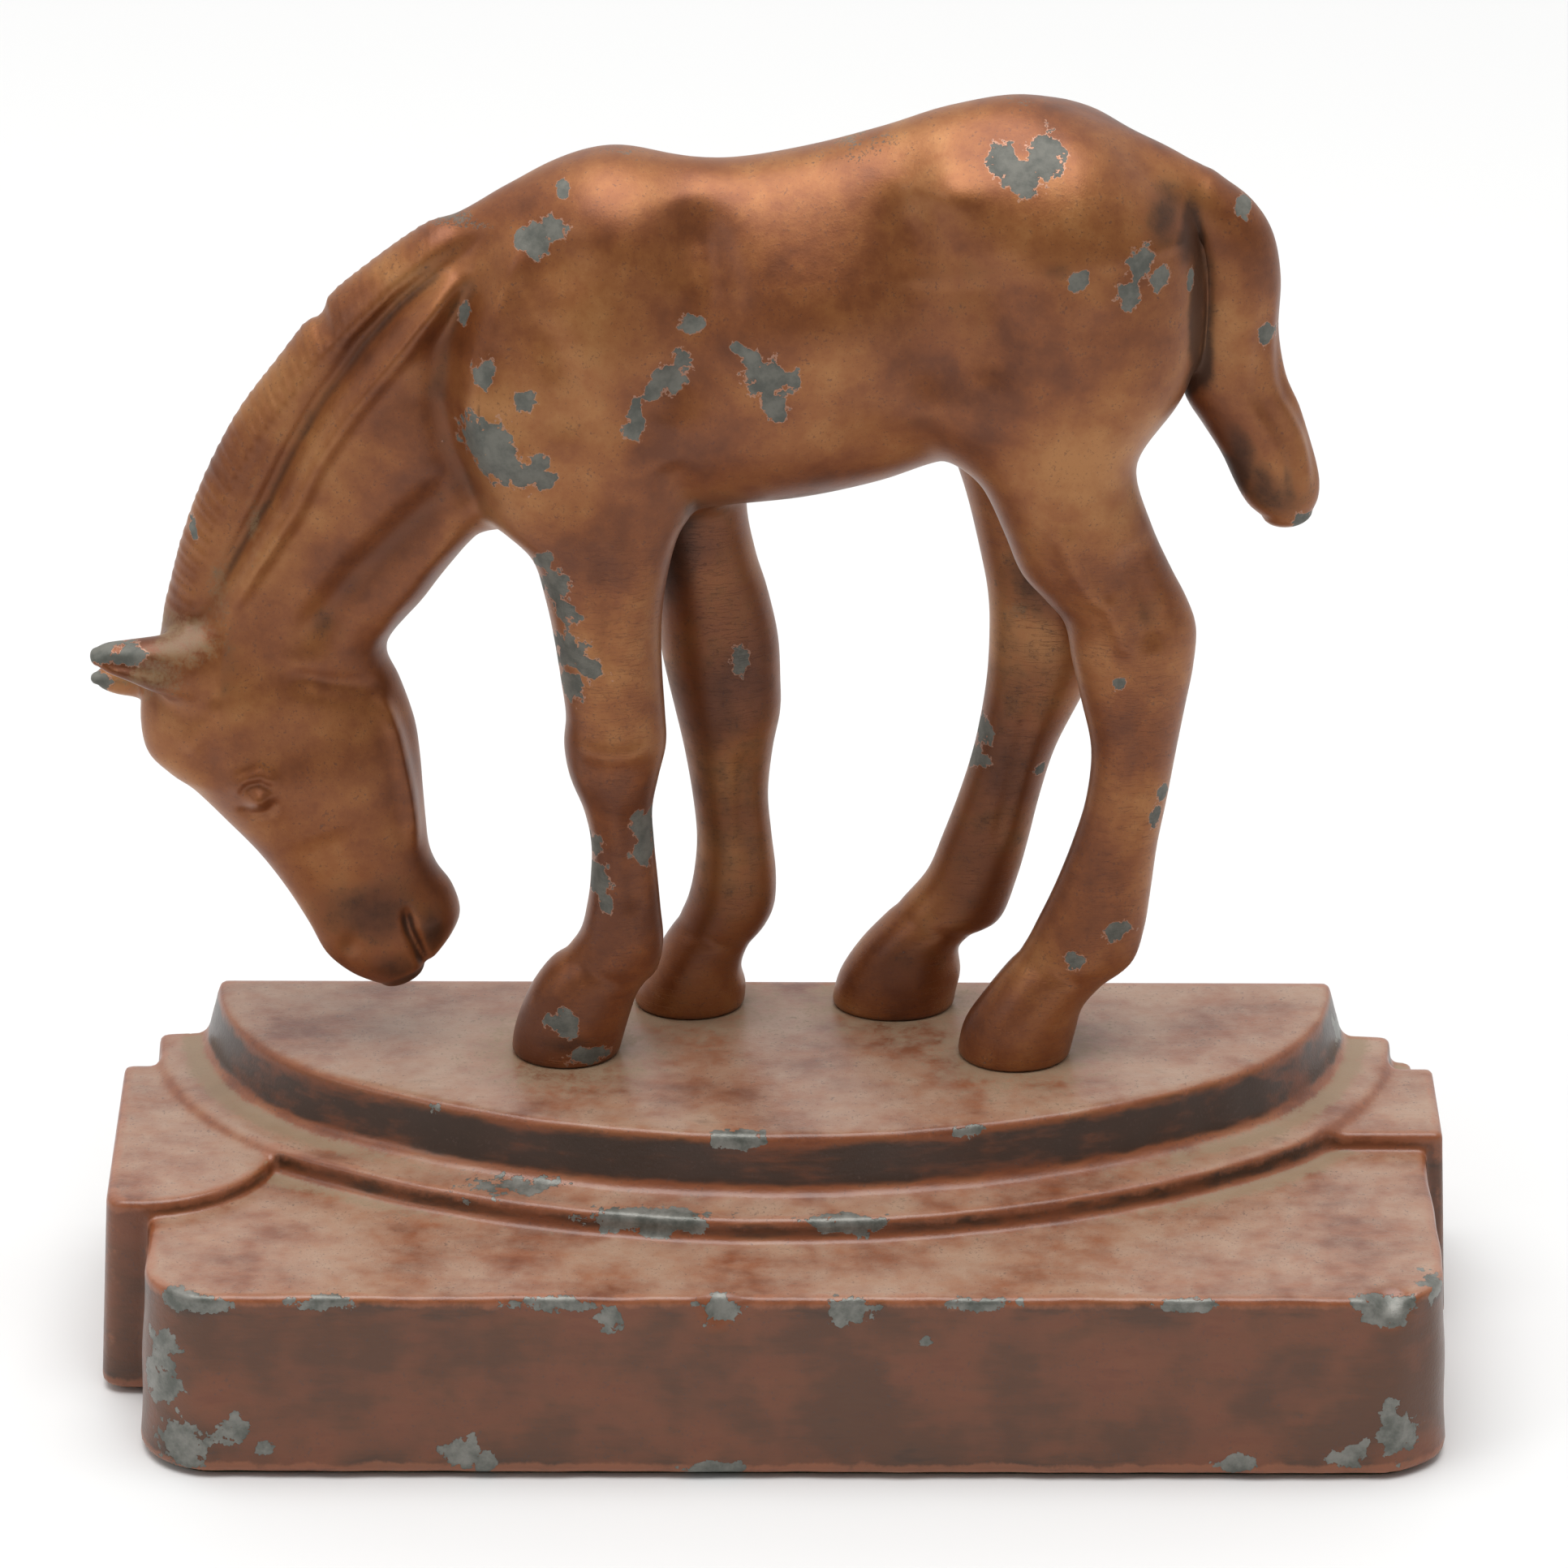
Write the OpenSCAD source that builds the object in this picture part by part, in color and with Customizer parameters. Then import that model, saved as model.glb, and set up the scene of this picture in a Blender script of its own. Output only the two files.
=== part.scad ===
// Grazing foal statuette: a bronze-lacquered figure screwed to a stepped, painted base.
// Millimetres, +Z up. The origin is on the underside, at the middle of the front slab's
// width and of the base's depth. The foal faces -X and its near side faces -Y.

/* [Base] */
// Width of the front slab
slab_w = 141; // [130:1:170]
// Depth of the base from the front face to the flat back
base_d = 59; // [55:1:75]
// Height of the slab's top above the table
slab_top = 21.5; // [19:0.5:27]
// Radius of the slab's upright front corners
corner_r = 8; // [5:0.5:11]
// Wall thickness of the hollow casting
wall = 4; // [3:0.5:5]
// Thickness of the casting's tops
top_t = 3.5; // [2.5:0.5:4]

/* [Platform] */
// Width of the bow-fronted platform's top
platform_w = 124.8; // [110:0.2:128]
// Depth of the platform's top from the flat back
platform_d = 38; // [34:1:42]
// Height of the platform above the ring step
platform_h = 6.8; // [5:0.2:10]
// Height of the ring step above the slab
ring_h = 2.7; // [2:0.1:4]
// How far the ring step stands out from the platform's top edge
ring_out = 7.2; // [6:0.2:8]
// Radius of the platform's two end curves
end_r = 28; // [24:1:30]

/* [Wings] */
// Height of the side wings above the slab
wing_h = 1.8; // [1:0.2:2.6]
// How far the left wing stands out past the slab
left_wing_out = 5.5; // [3:0.5:8]
// How far the right wing stands out past the slab
right_wing_out = 2.5; // [1:0.5:5]
// Distance from the front face to the left wing's front
left_wing_back = 18.5; // [16:0.5:22]
// Distance from the front face to the right wing's front
right_wing_back = 35.5; // [30:0.5:38]
// Radius of the left wing's curved front
wing_r = 16; // [14:0.5:20]

/* [Figure] */
// Height of the croup above the platform
figure_h = 110.4; // [95:0.2:125]
// Distance from the flat back to the foal's middle plane
figure_in = 11.5; // [10:0.5:14]

/* [Screws] */
// Shank diameter of the four screws
screw_d = 4; // [3:0.5:5]
// How far each screw runs up into its hoof
screw_grip = 6; // [4:0.5:7]
// Diameter of the screw heads
screw_head_d = 7; // [6:0.5:8]
// Height of the screw heads
screw_head_h = 2.4; // [2:0.2:3]
// Diameter of the washers
washer_d = 9; // [8.5:0.5:10]
// Thickness of the washers
washer_t = 0.8; // [0.6:0.1:1.2]
// Length of the bosses under the platform
boss_h = 7; // [5:0.5:9]

/* [Felt] */
// Thickness of the felt pad
felt_t = 0.8; // [0.6:0.1:1.5]
// How far the felt is set in from the base's outline
felt_inset = 1.5; // [1:0.5:3]

/* [Hidden] */

$fn = 96;
muscle_fn = 24;
BRONZE = "#9a5a35";
PAINT = "#8a4430";
FELT = "#3c4638";
STEEL = "#8d8f90";

// Base levels and edges
front_y = -base_d / 2;
back_y = base_d / 2;
ring_top = slab_top + ring_h;
platform_top = ring_top + platform_h;
wing_top = slab_top + wing_h;
platform_x = -2;
edge_cut = 0.6;
ledge_fall = 0.2;
clear_hole_d = screw_d + 0.6;
washer_room = 0.5;
boss_d = washer_d + 1.5;
boss_bottom = platform_top - top_t - boss_h;
wing_end_y = back_y - 5;
slab_end_y = front_y + right_wing_back + 1;

// The bow front is a three-centred arch: two end arcs and one long middle arc, all tangent
arch_half = platform_w / 2;
end_x = arch_half - end_r;
arch_c = (end_x * end_x - pow(platform_d - end_r, 2)) / (2 * (platform_d - end_r));
mid_r = arch_c + platform_d;
end_span = atan2(arch_c, end_x);

// The figure is drawn for a croup 110.4 mm above the platform and scaled from there
drawn_h = 110.4;
figure_k = figure_h / drawn_h;
figure_y = back_y - figure_in;
// The far screws stand a little nearer the middle plane, which keeps the back wall thick
screw_places = [[-25, -6], [-11.8, 4.5], [24.6, -6.4], [11.2, 4.5]];

// Each station of a casting: [edge 1 x, z, edge 2 x, z, middle y, half width].
// Edge 1 faces the front of the foal or the outside of a curve. z counts from the platform.
near_fore_top = [[-33, 73, -8, 75, -5.2, 5.6], [-31.5, 64, -11.5, 66, -6, 6.2],
    [-27.5, 56, -14.2, 56, -6, 6]];
near_fore = [[-27.5, 56, -14.2, 56, -6, 6], [-26.5, 50, -14.6, 50, -6, 5.7],
    [-25.6, 45, -14.6, 45, -6, 5.3], [-25.2, 39, -14.1, 39, -6, 4.9],
    [-24.8, 34.5, -14.5, 34.5, -6, 4.7], [-23.4, 30, -15.5, 30, -6, 4.2],
    [-22.3, 25, -15.4, 25, -6, 3.7], [-22.4, 20.5, -14.9, 20.5, -6, 3.6],
    [-23, 16.5, -14.4, 16, -6, 3.9], [-24.6, 13, -14.4, 12.4, -6, 4.1],
    [-27.4, 10.6, -15.9, 9.2, -6, 4.2], [-29.6, 6.8, -17.6, 6.4, -6, 4.6],
    [-31, 3, -18.6, 3, -6, 4.9], [-31.1, 0, -19.4, 0, -6, 4.8]];
far_fore_top = [[-22, 73, -3, 73, 5.2, 5.6], [-18.5, 64, -5, 64, 6, 5.6],
    [-16.2, 56, -4.6, 56, 6, 5.3]];
far_fore = [[-16.2, 56, -4.6, 56, 6, 5.3], [-15.4, 50, -3.1, 50, 6, 5],
    [-14.8, 44, -1.9, 44, 6, 4.9], [-13.2, 37, -1.6, 37, 6, 4.7],
    [-12.2, 31.5, -2.3, 31.5, 6, 4.3], [-11.2, 26, -2.9, 26, 6, 3.8],
    [-10.8, 21, -2.5, 21, 6, 3.6], [-11, 16, -1.9, 15.5, 6, 3.9],
    [-12.2, 11.8, -2.3, 11.5, 6, 4.1], [-13.8, 9, -4.4, 8.3, 6, 4],
    [-15.8, 5.5, -5.8, 6, 6, 4.3], [-17.4, 2.4, -5.4, 3, 6, 5],
    [-17.8, 0, -5.7, 0, 6, 5]];
near_hind_top = [[11, 85, 41, 90, -4.6, 6.4], [14.5, 74, 40.5, 80, -5.4, 6.6],
    [18.5, 70, 37, 72, -6, 6.4], [22.4, 62, 38.8, 62, -6, 5.6]];
near_hind = [[22.4, 62, 38.8, 62, -6, 5.6], [24.2, 58, 40.6, 58, -6, 5.2],
    [27, 54.6, 42.6, 54, -6, 4.8], [29.4, 51, 43.4, 50, -6, 4.6],
    [30.1, 46, 43, 46, -6, 4.4], [31.2, 42, 42.4, 42, -6, 4.2],
    [32.2, 36, 41.3, 36, -6, 3.9], [31.6, 30, 40.4, 30, -6, 3.8],
    [30, 24, 39.4, 24, -6, 3.8], [28.2, 19, 39, 18.5, -6, 4],
    [26.3, 15, 38.4, 14.8, -6.1, 4.3], [24.2, 11.5, 36, 10.3, -6.2, 4.4],
    [21.5, 8.2, 32.9, 8.2, -6.3, 4.6], [19.4, 5, 31.6, 5, -6.4, 5],
    [18.3, 2, 31, 2, -6.4, 5.4], [18.4, 0, 30.6, 0, -6.4, 5.3]];
far_hind_top = [[10, 85, 38, 88, 4.6, 6.4], [13.5, 74, 37, 77, 5.4, 6.2],
    [17.4, 67, 35, 68, 6, 5.8], [18.6, 62, 34.6, 62, 6, 5.4]];
far_hind = [[18.6, 62, 34.6, 62, 6, 5.4], [20.2, 55, 35, 55, 6, 5],
    [21.2, 49, 35.2, 49, 6, 4.7], [21.3, 44, 33.5, 43.5, 6, 4.4],
    [20.8, 38, 31.3, 37.5, 6, 4.1], [19.6, 31, 28.6, 31, 6, 3.8],
    [18.1, 25, 27.1, 25.5, 6, 3.7], [16.3, 20, 26, 20, 6, 3.7],
    [14.6, 16, 24.7, 15.5, 6, 3.9], [12.4, 13, 23.3, 11.2, 6, 4.1],
    [9.3, 9.8, 19.6, 9.2, 6, 4.2], [6.8, 6.5, 18.5, 6.5, 6, 4.6],
    [4.9, 3, 18.6, 3.5, 6, 5.2], [4.5, 0, 18, 0, 6, 5.2]];
barrel = [[-34, 98, -34, 61.5, 0, 8.6], [-30, 100.2, -30, 60.5, 0, 10.4],
    [-24, 102.6, -24, 60.8, 0, 12], [-18, 103.6, -18, 62, 0, 12.6],
    [-10, 102.8, -10, 63.3, 0, 12.6], [0, 104.2, 0, 64.3, 0, 13],
    [9, 106.8, 9, 66, 0, 13], [16, 109, 16, 69, 0, 12.6],
    [24, 110.4, 24, 70, 0, 12.8], [31, 108.6, 31, 71, 0, 12],
    [36, 105.8, 36, 73, 0, 10], [40, 101.5, 40, 76, 0, 7.5],
    [42.4, 95, 42.4, 82, 0, 3.5]];
neck_run = [[-34, 98, -34, 61.5, 0, 8.6], [-40, 94.8, -35.4, 59, 0, 8],
    [-45.5, 90.6, -37, 57, 0, 7.4], [-50.5, 86.2, -38.6, 55, 0, 6.8],
    [-55.5, 79.6, -40, 53, 0, 6.4], [-60, 73, -41.6, 50.8, 0, 6.1],
    [-63.5, 66, -43, 48.8, 0, 6], [-66, 59, -44, 47.2, 0, 6],
    [-68, 52, -44.5, 46.4, 0, 6.2], [-69.4, 46, -44.6, 46, 0, 6.4]];
head_run = [[-69.4, 46, -44.6, 46, 0, 6.4], [-71, 41.5, -43.4, 42.5, -0.3, 6.8],
    [-71.2, 37, -42, 38, -0.6, 6.9], [-69.5, 33.5, -41.4, 33.5, -1, 6.8],
    [-66.5, 31, -41.2, 29.8, -1.3, 6.5], [-63, 27, -41, 26.5, -1.6, 6],
    [-59.5, 23, -40.6, 23, -2, 5.4], [-56.5, 18.8, -40, 20.5, -2.3, 4.9],
    [-54.2, 14.6, -38, 18, -2.7, 4.6], [-52.2, 11, -37.4, 15, -3, 4.4],
    [-49.6, 8.6, -38.6, 12.2, -3.2, 3.8], [-46, 6.9, -41.2, 9.3, -3.3, 2.2]];
tail_run = [[37, 104.4, 35, 98.5, 0, 2.8], [41, 102.4, 39.6, 97.5, 0, 3.2],
    [45, 100.4, 42.8, 96.2, 0, 3.3], [48.5, 97.6, 43.6, 94, 0, 3.5],
    [51, 93.6, 44, 91.5, 0, 3.7], [51.6, 88, 44.3, 87.5, 0, 3.8],
    [51.6, 82.5, 43.9, 82, 0, 3.7], [52.6, 78, 43, 76.6, 0, 3.5],
    [54.4, 74, 44.2, 73, 0, 3.3], [55.6, 70, 46, 69.5, 0, 3.1],
    [56.1, 66, 48, 66.2, 0, 2.9], [55.7, 62.8, 50.6, 63, 0, 2.4],
    [54.2, 61.2, 52.4, 61.6, 0, 1.2]];
near_ear_run = [[-64.6, 49.6, -65.4, 42.8, -4.6, 2], [-68.5, 49.4, -69, 43.6, -5, 2.1],
    [-72.5, 49, -72.5, 45, -5.4, 1.9], [-75.2, 48.8, -75, 46, -5.6, 1.2],
    [-76.4, 48, -76.3, 47, -5.6, 0.5]];
far_ear_run = [[-66, 45.8, -66.4, 38.8, 3.6, 2], [-70, 45, -70.4, 38.6, 4, 2],
    [-73.4, 43.2, -73.6, 38.6, 4.4, 1.7], [-75.8, 42, -75.8, 39.6, 4.6, 1.1],
    [-76.6, 41.2, -76.6, 40.4, 4.6, 0.5]];

// Muscles: [x, y, z, radius] of a ball at each end, drawn on both sides
muscles = [
    [[-26, 4.6, 78, 7.4], [-19, 2.5, 94, 8]],
    [[-28, 4.8, 71, 5.6], [-18, 6, 72, 6]],
    [[27, 3.6, 94, 9.4], [32, 4, 82, 8.4]],
    [[18, 6.5, 98, 4.6], [29, 4, 98, 8]],
    [[21, 5, 79, 7], [29, 4, 88, 8.6]]];

// A point between stations i and i + 1, on a smooth curve through all of them
function at(run, i, t) =
    let (n = len(run) - 1, a = run[max(i - 1, 0)], b = run[i], c = run[min(i + 1, n)],
         d = run[min(i + 2, n)])
    0.5 * (2 * b + (c - a) * t + (2 * a - 5 * b + 4 * c - d) * t * t
        + (3 * b - a - 3 * c + d) * t * t * t);

// All rings of a run, with `steps` rings to each gap between stations
function rings(run, steps) =
    [for (i = [0 : len(run) - 2], j = [0 : steps - 1]) at(run, i, j / steps),
     run[len(run) - 1]];

// One oval ring in the plane through both edges and the Y direction
function ring_points(s, sides) =
    [for (k = [0 : sides - 1])
        middle_of(s) + reach_of(s) * cos(360 * k / sides) + [0, s[5], 0] * sin(360 * k / sides)];

// The middle of a station, and half of the way from its edge 2 to its edge 1
function middle_of(s) = [(s[0] + s[2]) / 2, s[4], (s[1] + s[3]) / 2];
function reach_of(s) = [(s[0] - s[2]) / 2, 0, (s[1] - s[3]) / 2];

// A closed casting through the stations of a run, whichever way round the run goes
module casting(run, sides = 16, steps = 3) {
    shape = rings(run, steps);
    count = len(shape);
    ahead = middle_of(shape[1]) - middle_of(shape[0]);
    backwards = cross(reach_of(shape[0]), [0, 1, 0]) * ahead < 0;
    skin = [for (i = [0 : count - 2], k = [0 : sides - 1])
        let (a = i * sides + k, b = i * sides + (k + 1) % sides)
        each [[a, a + sides, b], [b, a + sides, b + sides]]];
    caps = [[for (k = [0 : sides - 1]) k],
            [for (k = [sides - 1 : -1 : 0]) (count - 1) * sides + k]];
    faces = concat(skin, caps);
    polyhedron(points = [for (s = shape) each ring_points(s, sides)],
        faces = backwards ? [for (f = faces) [for (k = [len(f) - 1 : -1 : 0]) f[k]]] : faces);
}

// Puts the figure on the platform at its size
module on_platform() {
    translate([0, figure_y, platform_top]) scale(figure_k) children();
}

// The bow front's outline, standing `out` from the platform's top edge, left end to right end
function arc_points(x, y, r, from, to, steps) =
    [for (i = [0 : steps]) let (a = from + (to - from) * i / steps)
        [x + r * cos(a), y + r * sin(a)]];
function bow_outline(out, steps) =
    concat(arc_points(platform_x - end_x, back_y, end_r + out, 180, 180 + end_span, steps),
        arc_points(platform_x, back_y + arch_c, mid_r + out, 180 + end_span + mid_step(steps),
            360 - end_span - mid_step(steps), 2 * steps - 2),
        arc_points(platform_x + end_x, back_y, end_r + out, 360 - end_span, 360, steps));
function mid_step(steps) = (180 - 2 * end_span) / (2 * steps);

// The bow-fronted body, through a profile of [distance out from the platform's edge, z]
module bow_body(profile) {
    steps = 12;
    levels = [for (p = profile) bow_outline(p[0], steps)];
    count = len(levels[0]);
    top = (len(profile) - 1) * count;
    sides = [for (i = [0 : len(profile) - 2], k = [0 : count - 1])
        let (a = i * count + k, b = i * count + (k + 1) % count)
        each [[a, a + count, b + count], [a, b + count, b]]];
    polyhedron(
        points = [for (i = [0 : len(profile) - 1], p = levels[i]) [p[0], p[1], profile[i][1]]],
        faces = concat(sides, [[for (k = [0 : count - 1]) k],
            [for (k = [count - 1 : -1 : 0]) top + k]]));
}

// The front slab with two rounded upright corners, set in all round by `inset`
module slab(inset, low, high, back) {
    w = slab_w / 2 - inset;
    r = corner_r - inset;
    front = front_y + inset;
    translate([0, 0, low]) linear_extrude(high - low) union() {
        translate([-w, front + r]) square([2 * w, back - front - r]);
        translate([-w + r, front]) square([2 * (w - r), r + 1]);
        for (side = [-1, 1]) translate([side * (w - r), front + r]) circle(r);
    }
}

// The left wing has a curved front, and both wings stop short of the flat back
module wings(inset, low, high) {
    left_x = -slab_w / 2 - left_wing_out + inset;
    left_y = front_y + left_wing_back + wing_r;
    arc_x = -slab_w / 2 + 1.8;
    intersection() {
        translate([arc_x, left_y, low]) cylinder(r = wing_r - inset, h = high - low);
        translate([left_x, front_y, low]) cube([2 * wing_r, base_d, high - low]);
    }
    translate([left_x, left_y, low])
        cube([arc_x + wing_r - inset - left_x, wing_end_y - inset - left_y, high - low]);
    right_y = front_y + right_wing_back + inset;
    right_w = 2 * wing_r;
    translate([slab_w / 2 + right_wing_out - inset - right_w, right_y, low])
        cube([right_w, wing_end_y - inset - right_y, high - low]);
}

module at_screws() {
    for (p = screw_places)
        translate([p[0] * figure_k, figure_y + p[1] * figure_k, 0]) children();
}

module base_hollow() {
    pocket_steps = 5;
    translate([0, 0, -1]) {
        slab(wall, 0, slab_top - top_t + 1, wing_end_y - wall);
        linear_extrude(platform_top - top_t + 1) polygon(bow_outline(-wall, pocket_steps));
    }
}

module base_casting() {
    color(PAINT) difference() {
        union() {
            difference() {
                union() {
                    slab(0, felt_t, slab_top, slab_end_y);
                    wings(0, felt_t, wing_top);
                    bow_body([[ring_out, felt_t], [ring_out, ring_top - edge_cut],
                        [ring_out - edge_cut, ring_top], [2.6, ring_top + ledge_fall],
                        [1.7, ring_top + 1], [edge_cut / 2, platform_top - edge_cut / 2],
                        [0, platform_top]]);
                }
                intersection() {
                    base_hollow();
                    translate([-slab_w, front_y, -2])
                        cube([2 * slab_w, base_d - wall, platform_top + 2]);
                }
            }
            at_screws() translate([0, 0, boss_bottom])
                cylinder(d = boss_d, h = platform_top - boss_bottom - 1);
        }
        at_screws() {
            cylinder(d = clear_hole_d, h = platform_top + 1);
            cylinder(d = washer_d + 2 * washer_room, h = boss_bottom);
        }
    }
}

module felt_pad() {
    color(FELT) union() {
        slab(felt_inset, 0, felt_t, slab_end_y);
        wings(felt_inset, 0, felt_t);
        bow_body([[ring_out - felt_inset, 0], [ring_out - felt_inset, felt_t]]);
    }
}

module figure_screws() {
    head_top = boss_bottom - washer_t;
    slot_w = 1;
    slot_deep = 1.2;
    color(STEEL) at_screws() difference() {
        translate([0, 0, head_top - screw_head_h]) union() {
            cylinder(d = screw_head_d, h = screw_head_h);
            cylinder(d = screw_d, h = platform_top + screw_grip - head_top + screw_head_h);
        }
        translate([-screw_head_d, -slot_w / 2, head_top - screw_head_h - 1])
            cube([2 * screw_head_d, slot_w, slot_deep + 1]);
    }
}

module screw_washers() {
    color(STEEL) at_screws() translate([0, 0, boss_bottom - washer_t]) difference() {
        cylinder(d = washer_d, h = washer_t);
        translate([0, 0, -1]) cylinder(d = clear_hole_d, h = washer_t + 2);
    }
}

// Barrel, shoulders, haunches and the four stubs that the legs are soldered to.
// The tail's root sits in a socket cut to its own shape.
module torso() {
    color(BRONZE) on_platform() difference() {
        intersection() {
            union() {
                casting(barrel, 24, 3);
                for (run = [near_fore_top, far_fore_top, near_hind_top, far_hind_top])
                    casting(run);
                for (side = [-1, 1], m = muscles) hull() for (ball = m)
                    translate([ball[0], side * ball[1], ball[2]])
                        sphere(ball[3], $fn = muscle_fn);
            }
            translate([barrel[0][0], -drawn_h, 0]) cube(2 * drawn_h);
        }
        casting(tail_run);
    }
}

module neck() {
    color(BRONZE) on_platform() difference() {
        casting(neck_run, 24, 3);
        casting(near_ear_run, 12, 2);
    }
}

module head() {
    color(BRONZE) on_platform() difference() {
        casting(head_run, 24, 3);
        casting(near_ear_run, 12, 2);
        casting(far_ear_run, 12, 2);
    }
}

module near_ear() {
    color(BRONZE) on_platform() casting(near_ear_run, 12, 2);
}

module far_ear() {
    color(BRONZE) on_platform() casting(far_ear_run, 12, 2);
}

module tail() {
    color(BRONZE) on_platform() casting(tail_run);
}

// A leg, with the threaded hole that its screw pulls up on
module leg(run, place) {
    color(BRONZE) difference() {
        on_platform() casting(run);
        translate([place[0] * figure_k, figure_y + place[1] * figure_k, platform_top - 1])
            cylinder(d = screw_d, h = screw_grip + 1);
    }
}

module near_foreleg() {
    leg(near_fore, screw_places[0]);
}

module far_foreleg() {
    leg(far_fore, screw_places[1]);
}

module near_hind_leg() {
    leg(near_hind, screw_places[2]);
}

module far_hind_leg() {
    leg(far_hind, screw_places[3]);
}

base_casting();
felt_pad();
figure_screws();
screw_washers();
torso();
neck();
head();
near_ear();
far_ear();
tail();
near_foreleg();
far_foreleg();
near_hind_leg();
far_hind_leg();
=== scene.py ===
# %% [markdown]
# # A lacquered foal on a painted base
# The object is a small grazing foal, cast in grey metal, lacquered to look like bronze and
# screwed to a stepped base painted terracotta. The frame holds the plain design of every casting.
# Here each visible casting gets its real skin: muscles, mane, hooves, rounded edges, and paint that
# has worn and chipped. Everything is built around the frame's own boxes, in metres.

# %% Load the frame
from math import atan2, cos, hypot, radians, sin

import bpy
import numpy as np
from mathutils import Matrix, Vector


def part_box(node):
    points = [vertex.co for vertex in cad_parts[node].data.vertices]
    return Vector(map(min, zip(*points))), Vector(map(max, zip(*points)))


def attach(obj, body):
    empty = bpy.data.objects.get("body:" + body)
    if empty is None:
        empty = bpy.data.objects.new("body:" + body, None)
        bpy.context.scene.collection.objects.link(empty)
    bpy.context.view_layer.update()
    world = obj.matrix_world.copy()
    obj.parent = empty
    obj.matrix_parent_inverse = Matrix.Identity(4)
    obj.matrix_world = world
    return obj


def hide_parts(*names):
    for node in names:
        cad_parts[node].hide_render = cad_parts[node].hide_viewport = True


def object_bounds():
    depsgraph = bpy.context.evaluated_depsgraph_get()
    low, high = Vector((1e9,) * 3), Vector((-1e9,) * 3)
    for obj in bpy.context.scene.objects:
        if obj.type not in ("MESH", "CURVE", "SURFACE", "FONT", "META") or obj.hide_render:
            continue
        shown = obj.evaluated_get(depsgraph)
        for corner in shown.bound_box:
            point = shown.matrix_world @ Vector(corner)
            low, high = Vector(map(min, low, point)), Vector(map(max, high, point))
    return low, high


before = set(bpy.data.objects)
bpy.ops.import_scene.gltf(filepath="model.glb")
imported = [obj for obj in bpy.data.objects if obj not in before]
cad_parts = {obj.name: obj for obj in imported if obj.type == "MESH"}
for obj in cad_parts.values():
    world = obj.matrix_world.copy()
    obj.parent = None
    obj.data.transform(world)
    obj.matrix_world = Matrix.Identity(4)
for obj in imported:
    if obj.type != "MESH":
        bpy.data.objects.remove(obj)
cad_box = [list(corner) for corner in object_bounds()]
MM = 0.001
scene = bpy.context.scene
print("frame nodes:", sorted(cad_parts))
print("frame box in mm:", [[round(v / MM, 1) for v in corner] for corner in cad_box])

# %% [markdown]
# ## Camera
# A long lens from the front, 25 degrees above the table, shows the near side of the foal and the
# tops of the steps. A wide lens from nearby would swell the front slab. The camera is placed by the
# distance and the angles to a target close to the middle of the object.

# %% Camera
CAMERA_DISTANCE = 0.928
CAMERA_PITCH = radians(25)
CAMERA_YAW = radians(0.4)
CAMERA_ROLL = radians(0.33)
CAMERA_LENS = 197.5
SENSOR_WIDTH = 36
FAR_CLIP = 50
TARGET_SHIFT = (0.5, 1.2, -2.5)  # millimetres from the middle of everything

middle_of_all = (Vector(cad_box[0]) + Vector(cad_box[1])) / 2
target = middle_of_all + Vector(TARGET_SHIFT) * MM
ahead = Vector((sin(CAMERA_YAW) * cos(CAMERA_PITCH), cos(CAMERA_YAW) * cos(CAMERA_PITCH),
                -sin(CAMERA_PITCH)))
level_right = Vector((cos(CAMERA_YAW), -sin(CAMERA_YAW), 0))
level_up = level_right.cross(ahead)
right = level_right * cos(CAMERA_ROLL) + level_up * sin(CAMERA_ROLL)
up = level_up * cos(CAMERA_ROLL) - level_right * sin(CAMERA_ROLL)

camera = bpy.data.objects.new("camera", bpy.data.cameras.new("camera"))
camera.data.lens = CAMERA_LENS
camera.data.sensor_width = SENSOR_WIDTH
camera.data.clip_end = FAR_CLIP
camera.matrix_world = Matrix.Translation(target - ahead * CAMERA_DISTANCE) @ Matrix(
    (right, up, -ahead)).transposed().to_4x4()
scene.collection.objects.link(camera)
scene.camera = camera
print("camera at", [round(v, 3) for v in camera.location])
print("looking at", [round(v, 4) for v in target])

# %% [markdown]
# ## How the castings are shaped
# A foal could be sculpted from boxes with subdivision, but muscles, creases and the way a leg melts
# into the belly are easier to say as distances. Each limb is a run of oval rings. For any point in
# space, a formula gives the distance to the skin, negative inside. Distances blend softly, and a
# crease or a swelling is a small number added near a line. One surface is then drawn where the
# distance is zero, so no joint shows between two castings.

# %% Rings along a limb
RING_STEPS = 5


def smooth_run(stations, steps=RING_STEPS):
    """Rings on a smooth curve through stations [front x, z, back x, z, middle y, half width, egg]."""
    rows = np.array([list(s) + [0] * (7 - len(s)) for s in stations], float)
    padded = np.vstack([rows[:1], rows, rows[-1:]])
    rings = []
    for a, b, c, d in zip(padded, padded[1:], padded[2:], padded[3:]):
        for t in np.arange(steps) / steps:
            rings.append(0.5 * (2 * b + (c - a) * t + (2 * a - 5 * b + 4 * c - d) * t * t
                                + (3 * b - a - 3 * c + d) * t ** 3))
    return np.array(rings + [rows[-1]])


def ring_frame(ring):
    """A ring's middle, its half reach from back to front, and that reach's length."""
    middle = np.array([(ring[0] + ring[2]) / 2, (ring[1] + ring[3]) / 2])
    reach = np.array([(ring[0] - ring[2]) / 2, (ring[1] - ring[3]) / 2])
    return middle, reach, hypot(*reach)


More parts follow.
